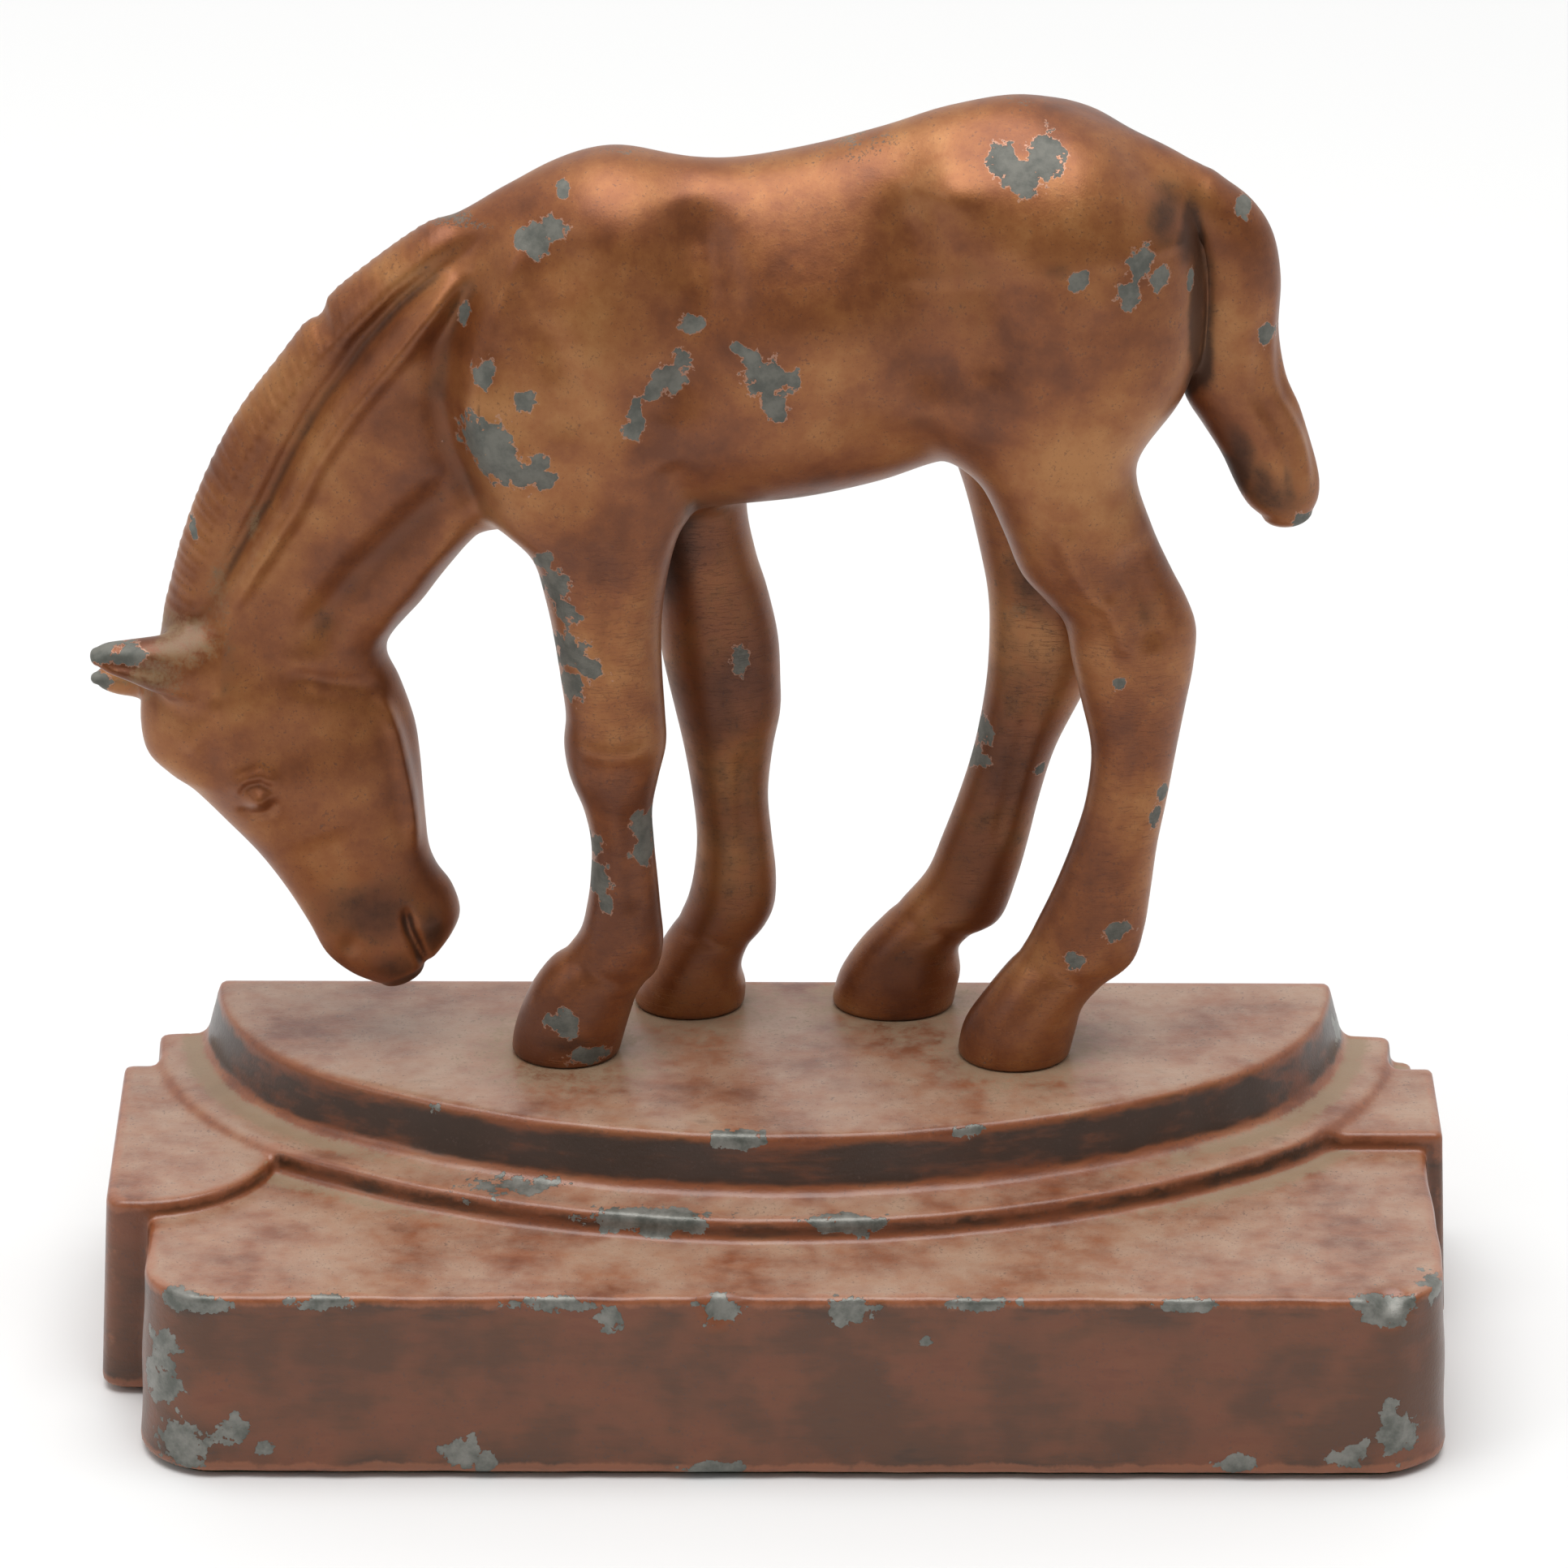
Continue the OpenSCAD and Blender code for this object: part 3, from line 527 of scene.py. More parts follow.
# %% Reading a grid between its lines
class Grid:
    """A box of evenly or unevenly spaced lines that holds values and reads them anywhere inside."""

    def __init__(self, lines):
        self.lines = [np.asarray(line, float) for line in lines]
        self.x, self.y, self.z = np.meshgrid(*self.lines, indexing="ij", sparse=True)

    def read(self, values, points):
        cell, share = [], []
        for k in range(3):
            line = self.lines[k]
            i = np.clip(np.searchsorted(line, points[:, k]) - 1, 0, len(line) - 2)
            cell.append(i)
            share.append(np.clip((points[:, k] - line[i]) / (line[i + 1] - line[i]), 0, 1))
        out = 0
        for corner in range(8):
            bits = [(corner >> k) & 1 for k in range(3)]
            weight = 1
            for k in range(3):
                weight = weight * (share[k] if bits[k] else 1 - share[k])
            out = out + weight * values[cell[0] + bits[0], cell[1] + bits[1], cell[2] + bits[2]]
        return out


def even_grid(low, high, step):
    return Grid([np.arange(a, b + step, step) for a, b in zip(low, high)])


# %% Trimming at a joint
def trim(points, normals, triangles, level):
    """Keeps the side where level is positive, and closes the cut with a lid."""
    points, normals, level = list(points), list(normals), list(level)
    keep = np.array(level) >= 0
    inside = keep[triangles].sum(1)
    result = [tuple(t) for t in triangles[inside == 3]]
    made, follows = {}, {}

    def between(i, j):
        key = (min(i, j), max(i, j))
        if key not in made:
            t = level[i] / (level[i] - level[j])
            points.append(points[i] + t * (points[j] - points[i]))
            normal = normals[i] + t * (normals[j] - normals[i])
            normals.append(normal / np.linalg.norm(normal))
            made[key] = len(points) - 1
        return made[key]

    for t in triangles[(inside > 0) & (inside < 3)]:
        one_kept = keep[t].sum() == 1
        odd = next(k for k in range(3) if keep[t[k]] == one_kept)
        a, b, c = t[odd], t[(odd + 1) % 3], t[(odd + 2) % 3]
        ab, ca = between(a, b), between(c, a)
        if keep[a]:
            result.append((a, ab, ca))
            follows[ca] = ab
        else:
            result += [(ab, b, c), (ab, c, ca)]
            follows[ab] = ca
    return points, normals, result, follows


def add_lids(points, normals, triangles, follows):
    """Closes every loop of the cut with a fan that has its own flat normals."""
    while follows:
        start = next(iter(follows))
        loop, here = [start], follows.pop(start)
        while here != start and here in follows:
            loop.append(here)
            here = follows.pop(here)
        ring = np.array([points[i] for i in loop])
        centre = ring.mean(0)
        spokes = ring - centre
        normal = np.cross(spokes, np.roll(spokes, -1, 0)).sum(0)
        normal /= max(np.linalg.norm(normal), 1e-9)
        first = len(points)
        points += list(ring) + [centre]
        normals += [normal] * (len(ring) + 1)
        size = len(ring)
        triangles += [(first + size, first + k, first + (k + 1) % size) for k in range(size)]
    return points, normals, triangles


# %% A casting as a Blender object
FOLD_REACH = 1.6
JOINT_LAP = 0.12  # castings overlap this much, so that no gap shows where three of them meet
SLIDES, LONGEST_SLIDE = 4, 0.3  # how often and how far a corner slides on to the skin
platform_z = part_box("near_foreleg")[0].z / MM
figure_y = sum(corner.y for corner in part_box("neck")) / 2 / MM


def skin_mesh(grid, field, level=None):
    """Corners, normals, triangles and how folded or proud the skin is at each corner."""
    points, quads = net(field, grid.lines)
    slopes = np.gradient(field, *grid.lines)
    for _ in range(SLIDES):
        value = grid.read(field, points)
        slope = np.stack([grid.read(s, points) for s in slopes], 1)
        size = np.maximum((slope ** 2).sum(1), 0.05)
        points = points - slope * np.clip(value / size, -LONGEST_SLIDE, LONGEST_SLIDE)[:, None]
    normals = np.stack([grid.read(s, points) for s in slopes], 1)
    normals /= np.maximum(np.linalg.norm(normals, axis=1), 1e-9)[:, None]
    triangles = np.concatenate([quads[:, [0, 1, 2]], quads[:, [0, 2, 3]]])
    if level is not None:
        points, normals, triangles, follows = trim(points, normals, triangles,
                                                   grid.read(level, points) + JOINT_LAP)
        points, normals, triangles = add_lids(points, normals, triangles, follows)
    points, normals = np.array(points), np.array(normals)
    fold = 1 - grid.read(field, points + normals * FOLD_REACH) / FOLD_REACH
    proud = 1 + grid.read(field, points - normals * FOLD_REACH) / FOLD_REACH
    return points, normals, np.array(triangles), dict(fold=fold, proud=proud)


def make_piece(name, node, finish, points, normals, triangles, marks):
    """Links the mesh as a piece that stands for a frame node."""
    used, index = np.unique(triangles, return_inverse=True)
    mesh = bpy.data.meshes.new(name)
    mesh.from_pydata((points[used] * MM).tolist(), [], index.reshape(-1, 3).tolist())
    mesh.polygons.foreach_set("use_smooth", np.ones(len(mesh.polygons), bool))
    mesh.normals_split_custom_set_from_vertices(normals[used].tolist())
    for mark, values in marks.items():
        layer = mesh.attributes.new(mark, "FLOAT", "POINT")
        layer.data.foreach_set("value", np.asarray(values, np.float32)[used])
    mesh.materials.append(finish)
    piece = bpy.data.objects.new(name, mesh)
    scene.collection.objects.link(piece)
    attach(piece, "root")
    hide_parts(node)
    print(f"{name}: {len(mesh.vertices)} corners, {len(mesh.polygons)} triangles")
    return piece


# %% [markdown]
# ## Finishes
# The wrapper below lets shader maths read like arithmetic. Every finish reads two numbers from the
# mesh: how folded the skin is, where shade is painted in as darker colour, and how proud it is, where
# hands rub the paint away. Noise breaks both up, so no edge of wear looks drawn.

# %% Shader arithmetic
class Wire:
    """A shader socket that ordinary arithmetic can use."""

    def __init__(self, finish, socket):
        self.finish, self.socket = finish, socket

    def maths(self, operation, *values):
        return self.finish.node("ShaderNodeMath", dict(operation=operation), dict(enumerate(values)))

    def __add__(self, other): return self.maths("ADD", self, other)
    def __radd__(self, other): return self.maths("ADD", other, self)
    def __sub__(self, other): return self.maths("SUBTRACT", self, other)
    def __rsub__(self, other): return self.maths("SUBTRACT", other, self)
    def __mul__(self, other): return self.maths("MULTIPLY", self, other)
    def __rmul__(self, other): return self.maths("MULTIPLY", other, self)

    def most(self, other): return self.maths("MAXIMUM", self, other)
    def size(self): return self.maths("ABSOLUTE", self)

    def step(self, low, high):
        """0 below low, 1 above high, smooth between."""
        return self.finish.node("ShaderNodeMapRange", dict(interpolation_type="SMOOTHSTEP"),
                                {"Value": self, "From Min": low, "From Max": high})


class Shading:
    """A node tree whose nodes all come from one method."""

    def __init__(self, tree):
        self.tree = tree

    def node(self, kind, settings, inputs, output=0):
        made = self.tree.nodes.new(kind)
        for key, value in settings.items():
            if key == "stops":
                while len(made.color_ramp.elements) < len(value):
                    made.color_ramp.elements.new(1)
                for stop, (spot, colour) in zip(made.color_ramp.elements, value):
                    stop.position, stop.color = spot, (*colour, 1)
            else:
                setattr(made, key, value)
        for key, value in inputs.items():
            self.connect(made.inputs[key], value)
        return Wire(self, made.outputs[output])

    def connect(self, socket, value):
        if isinstance(value, Wire):
            self.tree.links.new(value.socket, socket)
        elif socket.type == "RGBA" and len(value) == 3:
            socket.default_value = (*value, 1)
        else:
            socket.default_value = value


class Finish(Shading):
    """A material with one principled shader, built from small steps."""

    def __init__(self, name):
        self.material = bpy.data.materials.new(name)
        self.material.use_nodes = True
        super().__init__(self.material.node_tree)
        self.shader = self.tree.nodes["Principled BSDF"]
        self.place = self.node("ShaderNodeTexCoord", {}, {}, "Object")

    def noise(self, size_mm, detail=3.0, rough=0.55, stretch=(1, 1, 1)):
        """Noise whose blotches are about size_mm across."""
        place = self.node("ShaderNodeMapping", {}, {"Vector": self.place, "Scale": stretch})
        return self.node("ShaderNodeTexNoise", {}, {"Vector": place, "Scale": 1 / (size_mm * MM),
                                                    "Detail": detail, "Roughness": rough})

    def mark(self, name):
        return self.node("ShaderNodeAttribute", dict(attribute_name=name), {}, "Fac")

    def mix(self, share, a, b):
        return self.node("ShaderNodeMix", dict(data_type="RGBA"), {0: share, 6: a, 7: b}, 2)

    def bump(self, height, depth_mm, normal=None):
        inputs = {"Height": height, "Strength": 1.0, "Distance": depth_mm * MM}
        if normal is not None:
            inputs["Normal"] = normal
        return self.node("ShaderNodeBump", {}, inputs)

    def shade(self, **sockets):
        for name, value in sockets.items():
            self.connect(self.shader.inputs[name.replace("_", " ")], value)
        return self.material


# %% [markdown]
# ### Bronze lacquer
# The foal is grey metal under a coppery lacquer. The lacquer is golden where it is
# thin, maroon where it pooled, and chipped to bare metal with a pale rim of undercoat. A metallic
# base under a soft clear coat gives the pink highlights. Dark speckle and some grime keep it old, and
# painted shade darkens the folds, the creases, the belly, the muzzle and the far legs.

# %% Bronze lacquer
LACQUER_TONES = [(0.34, (0.140, 0.037, 0.008)), (0.45, (0.220, 0.064, 0.014)),
                 (0.55, (0.300, 0.104, 0.025)), (0.68, (0.400, 0.172, 0.052))]
# The second of these three darks is painted shade for the folds, creases and dark spots, with some grime.
SPECKLE, SHADE_AND_GRIME, CRACK = (0.060, 0.020, 0.017), (0.045, 0.016, 0.006), (0.05, 0.018, 0.012)
RUBBED, FILM, UNDERCOAT = (0.44, 0.21, 0.095), (0.25, 0.16, 0.075), (0.46, 0.26, 0.18)
DULL_METAL, BRIGHT_METAL = (0.085, 0.088, 0.074), (0.17, 0.165, 0.14)


def bronze_lacquer():
    f = Finish("bronze_lacquer")
    cloud, blotch, speck = f.noise(12, 2), f.noise(2.2, 4, 0.65), f.noise(0.35, 3, 0.7)
    flake, crazing = f.noise(1.5, 3, 0.6), f.noise(1.1, 2, 0.5, (0.3, 0.3, 2.4))
    fold, proud, chip, worn = f.mark("fold"), f.mark("proud"), f.mark("chip"), f.mark("worn")
    stain, dusty, crazed = f.mark("stain"), f.mark("dusty"), f.mark("crazed")
    copper = f.node("ShaderNodeValToRGB", dict(stops=LACQUER_TONES), {0: 0.7 * cloud + 0.3 * blotch})
    freckle = (speck + 0.35 * blotch).step(0.76, 0.87) * 0.5
    copper = f.mix(freckle, copper, SPECKLE)
    # Painted shade: folds, creases and the listed dark spots are darkened in the colour, with some grime.
    shade_and_grime = (fold * 1.3 + stain * 1.1 + (blotch - 0.5) * 0.9).step(0.25, 1.05) * 0.88
    copper = f.mix(shade_and_grime, copper, SHADE_AND_GRIME)
    rub = (proud * 1.1 + (blotch - 0.5) * 0.7 + (speck - 0.5) * 0.5).step(0.55, 0.95) * 0.4
    copper = f.mix(rub, copper, RUBBED)
    film = (dusty + (blotch - 0.5) * 1.1 + (speck - 0.5) * 0.9).step(0.25, 0.9) * 0.75
    copper = f.mix(film, copper, FILM)
    crack = (1 - (crazing - 0.5).size() * 90).most(0) * crazed
    copper = f.mix(crack * 0.28, copper, CRACK)
    ragged = chip + (flake - 0.5) * 2.6 + (blotch - 0.5) * 0.9 + (speck - 0.5) * 0.3
    bare = ragged.step(-0.02, 0.02)
    rim = ragged.step(-0.16, -0.09) * (1 - bare)
    thin = (worn + (speck - 0.5) * 2.2 + (blotch - 0.5) * 1.4).step(0.55, 0.9)
    bare = bare.most(thin * 0.75)
    metal = f.mix(blotch.step(0.3, 0.7), DULL_METAL, BRIGHT_METAL)
    copper = f.mix(rim * 0.6, copper, UNDERCOAT)
    colour = f.mix(bare, copper, metal)
    skin = f.bump(speck, 0.03, f.bump(blotch, 0.04))
    return f.shade(Base_Color=colour, Metallic=0.6 - 0.44 * bare - 0.12 * shade_and_grime - 0.4 * film,
                   Roughness=0.47 + 0.10 * (blotch - 0.5) + 0.16 * shade_and_grime + 0.14 * bare + 0.3 * film,
                   Coat_Weight=0.42 - 0.38 * bare - 0.25 * shade_and_grime, Coat_Roughness=0.36,
                   Normal=f.bump(1 - bare - 0.3 * crack, 0.07, skin))


# %% [markdown]
# ### Painted base
# The base is brushed terracotta, with a pale painted sheen on its flat tops, painted shade that darkens
# its upright sides brown, painted shade with dark dirt in bands along the walls and the foot, orange
# along the rims, and chipped to grey metal on the corners. Tan dust lies in the coves.

# %% Base paint
PAINT_TONES = [(0.36, (0.165, 0.046, 0.016)), (0.5, (0.255, 0.078, 0.028)), (0.64, (0.330, 0.120, 0.046))]
# The pale top colour is a painted sheen; the next two darks are painted shade, on the upright sides and, with
# dark dirt, in the bands along the walls and the foot.
PAINTED_TOP_SHEEN, PAINTED_SIDE_SHADE, SOOT_AND_SHADE = (0.42, 0.30, 0.215), (0.066, 0.023, 0.007), (0.030, 0.017, 0.010)
DARK_SPECK, DUST, RUBBED_PAINT = (0.075, 0.040, 0.030), (0.29, 0.205, 0.125), (0.34, 0.115, 0.05)
DULL_CHIP, BRIGHT_CHIP = (0.09, 0.095, 0.08), (0.23, 0.225, 0.20)


def base_paint():
    f = Finish("base_paint")
    cloud, blotch, speck = f.noise(11, 3), f.noise(2.6, 4, 0.65), f.noise(0.4, 3, 0.7)
    streaks, flake = f.noise(2.4, 3, 0.6, (0.35, 1, 1.6)), f.noise(1.8, 3, 0.62)
    proud, chip, soot = f.mark("proud"), f.mark("chip"), f.mark("soot")
    dust, upright = f.mark("dust"), f.mark("upright")
    paint = f.node("ShaderNodeValToRGB", dict(stops=PAINT_TONES), {0: 0.6 * cloud + 0.4 * streaks})
    # Painted sheen: the flat tops are made pale, as if they reflected the light overhead.
    top_sheen = (cloud * 0.8 + blotch * 0.5 - upright).step(0.38, 0.9) * 0.75
    paint = f.mix(top_sheen, paint, PAINTED_TOP_SHEEN)
    # Painted shade: the upright sides are darkened brown, as if lit less than the tops.
    side_shade = ((0.95 + (cloud - 0.5) * 2.4 + (streaks - 0.5) * 0.9) * upright).step(0.35, 1.2) * 0.85
    paint = f.mix(side_shade, paint, PAINTED_SIDE_SHADE)
    # Painted shade with dark dirt, in the bands along the walls, under the slab's top edge and at the foot.
    black = (soot + (streaks - 0.5) * 1.5 + (cloud - 0.5) * 1.5).step(0.3, 1.05) * 0.88
    paint = f.mix(black, paint, SOOT_AND_SHADE)
    freckle = (speck + 0.3 * blotch).step(0.74, 0.84) * 0.55
    paint = f.mix(freckle, paint, DARK_SPECK)
    tan = (dust * 1.4 + (blotch - 0.5) * 1.3 + (speck - 0.5) * 1.3).step(0.35, 1.15) * 0.8
    paint = f.mix(tan, paint, DUST)
    rub = (proud * 1.5 + (blotch - 0.5) * 1.2).step(0.35, 0.7) * 0.6
    paint = f.mix(rub, paint, RUBBED_PAINT)
    ragged = chip + proud * 0.5 + (flake - 0.5) * 2.4 + (blotch - 0.5) * 0.9 + (speck - 0.5) * 0.4
    bare = ragged.step(0.0, 0.05)
    metal = f.mix(blotch.step(0.3, 0.7), DULL_CHIP, BRIGHT_CHIP)
    colour = f.mix(bare, paint, metal)
    skin = f.bump(speck, 0.04, f.bump(streaks, 0.06))
    return f.shade(Base_Color=colour, Metallic=0.25 * bare,
                   Roughness=0.36 + 0.34 * tan + 0.14 * (blotch - 0.5),
                   Coat_Weight=0.38 - 0.3 * bare.most(upright) - 0.2 * tan, Coat_Roughness=0.22,
                   Normal=f.bump(1 - bare, 0.09, skin))


# %% Felt and steel
def felt_finish():
    f = Finish("felt")
    fibre = f.noise(0.25, 4, 0.75)
    colour = f.mix(fibre.step(0.3, 0.75), (0.035, 0.05, 0.032), (0.075, 0.095, 0.062))
    return f.shade(Base_Color=colour, Roughness=0.95, Normal=f.bump(fibre, 0.25))


def steel_finish():
    f = Finish("steel")
    stain = f.noise(1.5, 4, 0.7)
    colour = f.mix(stain.step(0.45, 0.7), (0.42, 0.42, 0.43), (0.22, 0.15, 0.10))
    return f.shade(Base_Color=colour, Metallic=0.9, Roughness=0.3 + 0.3 * stain,
                   Normal=f.bump(stain, 0.03))


lacquer, paint, steel = bronze_lacquer(), base_paint(), steel_finish()
for cad_name, finish in (("felt_pad", felt_finish()), ("figure_screws", steel), ("screw_washers", steel)):
    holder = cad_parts[cad_name]
    if not holder.data.materials:
        holder.data.materials.append(finish)
    for material_slot in holder.material_slots:
        material_slot.material = finish
print("finishes:", [m.name for m in bpy.data.materials])

# %% [markdown]
# ## Chips in the lacquer
# Where the lacquer has flaked is a short list of spots on the near side, with a few more on the back
# and the far side, where an old ornament is knocked as often. Each is x, z, the radius and how long
# it is drawn out; noise in the finish gives it its ragged edge.

# %% Chips and worn spots
# (side, x, z, radius, stretch, lean): side -1 is near, 1 is far, 0 is both
chips = [
    (-1, -27.8, 96.6, 1.5, 1.2, 0.6), (-1, -26, 97.8, 1.1, 1.3, 0.9), (-1, -29.2, 96.2, 0.9, 1, 0.4),
    (-1, -25, 101.4, 0.6, 1.3, 0.4), (-1, -33.6, 75, 2.4, 1, -0.4), (-1, -31.8, 72.6, 2.2, 1.2, -0.5),
    (-1, -29, 71.4, 1.7, 1.2, -0.3), (-1, -27, 70.8, 1.3, 1, -0.8), (-1, -27.4, 73, 0.9, 1.3, 0),
    (-1, -33.4, 82.4, 1.4, 0.7, 0), (-1, -29.2, 79.8, 1, 1.4, 0.2), (-1, -35.6, 87.4, 1.1, 0.6, -0.3),
    (-1, -11.4, 88.4, 1, 1.1, 0), (-1, -12.4, 84.4, 1.3, 0.8, 0.3), (-1, -13.6, 82.2, 1.6, 1, 0.9),
    (-1, -15.4, 81, 0.9, 1.2, 0.8), (-1, -17.2, 79.4, 1, 0.7, 0), (-1, -17.4, 77.4, 1.4, 0.8, 0.2),
    (-1, -3.2, 83, 2.4, 0.9, 0), (-1, -2.4, 79.8, 1.6, 0.8, 0.3), (-1, -5, 85.4, 1.2, 1, 0),
    (-1, -0.8, 83.4, 1.1, 0.9, 0), (-1, -6.6, 86.4, 0.7, 1, 0), (-1, 21.4, 105.8, 1.4, 1.1, 0),
    (-1, 25.8, 106.2, 1.8, 1, 0.2), (-1, 23.8, 104.7, 1.4, 1.1, 0.3), (-1, 36, 95.8, 1.6, 1, 0.2),
    (-1, 34.9, 92.6, 1.5, 0.9, 0.3),
    (-1, 38, 93.8, 1.1, 0.9, 0), (-1, 29.4, 94.8, 0.8, 1.4, 0.3), (-1, 47.3, 98.6, 0.9, 1, 0),
    (0, 50, 84.4, 1.1, 1, 0), (-1, 41.6, 92.4, 0.9, 0.4, 0), (-1, -27.2, 61, 1.5, 0.7, -0.5),
    (-1, -26, 58, 2.2, 0.6, -0.2), (-1, -25, 55.4, 1.4, 1, 0), (-1, -24.6, 50, 2.2, 0.8, 0),
    (-1, -22.4, 48.6, 1.3, 1.5, -0.4), (-1, -24.2, 46, 2, 0.6, 0), (-1, -21.8, 26, 1.8, 0.45, 0),
    (-1, -21.4, 22, 2, 0.55, 0), (-1, -20.6, 19.4, 1.1, 0.8, 0), (-1, -16.4, 28.4, 1.9, 0.7, 0.3),
    (-1, -16.6, 25.4, 1.6, 0.7, 0), (-1, -25.4, 5.4, 1.4, 1.1, 0),
    (-1, -23, 1.4, 1, 2.4, 0), (-1, 34.8, 46.6, 0.8, 0.9, 0), (-1, 40, 32.6, 1.1, 0.5, 0),
    (-1, 39.2, 29.6, 1.4, 0.5, 0), (-1, 35.4, 16.4, 1.1, 1.4, 0.2), (-1, 30.4, 13.4, 0.9, 1.5, -0.3),
    (1, 20.8, 34.4, 1.4, 0.7, 0), (1, 20, 31, 1.2, 1, 0), (1, 27, 30, 0.7, 1.3, 0),
    (1, -20, 92, 2.2, 1.2, 0.3), (1, -23, 90, 1.5, 1, 0),
    (1, 8, 84, 2, 0.9, 0.6), (1, 10.6, 82, 1.2, 1, 0), (1, 30, 88, 2.2, 1, 0),
    (1, -48, 70, 1.6, 1.4, 0.5), (1, -52, 30, 1.2, 1, 0), (1, -6, 44, 1.6, 0.6, 0), (1, 24, 62, 1.4, 0.8, 0),
    (1, 50, 78, 1.2, 0.7, 0), (0, -76, 49.4, 2, 1.3, 0), (-1, -72.6, 48.2, 0.9, 2, 0.3),
    (0, -76, 42, 1.3, 1, 0), (0, -65.2, 61, 0.9, 0.5, 0.2), (0, 54.6, 62.4, 1.1, 1, 0)]
worn_spots = [(2, 106.5, 8, 2.2), (-19, 104.8, 6, 1), (-38, 96.6, 6, 1), (24, 111, 5, 1.2)]


# Painted shade with some grime, under the belly, on the far legs, at the muzzle, in hollows, at the tail's
# root and at the hooves, then dust: (side, strength, x, z, radius across, radius up)
shade_and_stain_spots = [
    (0, 0.8, -44.5, 9.6, 5, 3), (0, 0.9, -40.6, 14, 2.4, 4), (-1, 0.75, -48, 17, 7, 5),
    (-1, 0.6, -51.6, 51, 3, 2.6),
    (0, 1, 41.4, 96.5, 1.6, 4), (0, 1, 42.2, 88, 1.2, 7), (0, 0.8, 42.2, 80.6, 1.8, 3),
    (-1, 0.8, 38.6, 99.8, 2.6, 3), (-1, 0.5, 27, 96, 2, 1.4), (0, 0.9, 47.4, 67.6, 2, 6),
    (0, 0.8, 51, 66, 3, 4), (1, 0.55, -9, 30, 12, 34), (1, 0.5, 22, 28, 16, 32),
    (1, 1, -14, 58, 3.8, 10), (1, 0.7, -13, 40, 2.4, 5), (1, 0.8, 26, 54, 4.4, 6),
    (1, 0.5, 24, 40, 6, 12), (-1, 0.5, 37.4, 54.6, 1.8, 3), (1, 0.5, 12, 8, 8, 6),
    (1, 0.4, -10, 9, 7, 7), (-1, 0.7, -25, 3, 4.4, 1.8), (-1, 0.8, 5, 64.5, 18, 4),
    (0, 0.7, 52, 65, 4.4, 3.2), (-1, 0.3, -22, 84, 5, 6), (-1, 0.35, 16, 90, 5, 6),
    (-1, 0.4, 13, 77, 3, 1.4)]
# Painted shade in a crease: (strength, width, the crease's points)
crease_shade_lines = [(0.45, 1.8, body_lines[0][2]), (0.4, 1.5, body_lines[-3][2]), (0.45, 2.2, body_lines[-2][2])]
dust_spots = [
    (-1, 0.75, -66.6, 49.4, 5, 3), (-1, 0.6, -62.5, 55, 1.4, 5), (-1, 0.5, -58.6, 62, 1.2, 5),
    (0, 0.6, -70, 46, 4, 2.6), (0, 0.6, -73, 43, 4, 2), (1, 0.5, 24, 50, 2, 2.4)]


def spot_marks(spots, x, y, z):
    """The strongest of the listed soft spots at each corner."""
    marks = [strength * lump_mark(place, x, z) * ((side == 0) | (side * y > 0))
             for side, strength, *place in spots]
    return np.max(marks, axis=0)


def wear_marks(points):
    """Chips, bare metal along the back, painted shade with some grime, dust and crazed lacquer at each
    corner.
    """
    x, y, z = points.T
    chip = np.full(len(points), -1.0)
    for side, cx, cz, radius, stretch, lean in chips:
        dx, dz = x - cx, z - cz
        along, across = dx * cos(lean) + dz * sin(lean), dz * cos(lean) - dx * sin(lean)
        depth = 1 - np.hypot(along / stretch, across) / radius
        chip = np.maximum(chip, np.where((side == 0) | (side * y > 0), depth, -1))
    worn = np.max([lump_mark(spot, x, z) for spot in worn_spots], axis=0)
    crease_shade = np.max([strength * line_mark(crease, width, x, z) for strength, width, crease in crease_shade_lines],
                   axis=0)
    return dict(chip=np.clip(chip, -1, 1), worn=worn, dusty=spot_marks(dust_spots, x, y, z),
                stain=np.maximum(spot_marks(shade_and_stain_spots, x, y, z), crease_shade),
                crazed=ease(-36, -33, x) * ease(-72, -56, -z))


print(len(chips), "chips and", len(worn_spots), "worn stretches")

# %% [markdown]
# ## The foal's castings
# The head is turned a little, with the forehead and the ears towards the near side. It is easier to
# model it straight and turn it afterwards: below the poll, the turn grows smoothly from nothing, so
# the neck's lower edge and the head's upper edge still match.

# %% Turning the head
HEAD_TURN = radians(-10)
turn_axis = np.array([0.31, 0.0, -0.95])
turn_point = np.array([-57.0, 0.0, 46.0])


def turn_head(points):
    angle = (HEAD_TURN * ease(-54, -40, -points[:, 2]))[:, None]
    axis = turn_axis / np.linalg.norm(turn_axis)
    arm = points - turn_point
    turned = (arm * np.cos(angle) + np.cross(axis, arm) * np.sin(angle)
              + axis * (arm @ axis)[:, None] * (1 - np.cos(angle)))
    return turn_point + turned


def turn_normals(points, normals):
    """Normals after the turn, from how it stretches a small step in each direction."""
    step = 0.01
    columns = [(turn_head(points + step * d) - turn_head(points - step * d)) / (2 * step)
               for d in np.eye(3)]
    jacobian = np.stack(columns, 2)
    turned = np.linalg.solve(jacobian.transpose(0, 2, 1), normals[:, :, None])[:, :, 0]
    return turned / np.linalg.norm(turned, axis=1)[:, None]


# %% What each casting keeps
coarse = 1.0
forelegs, hind_legs = ("near_foreleg", "far_foreleg"), ("near_hind_leg", "far_hind_leg")
NECK_X, HEAD_Z, FORELEG_Z, HIND_LEG_Z = -34, 46, 56, 62


def torso_keeps(parts, g):
    legs_end = np.where(g.x < 3, g.z - FORELEG_Z, g.z - HIND_LEG_Z)
    return np.minimum(np.minimum(g.x - NECK_X, legs_end), parts["tail"] - parts["body"])


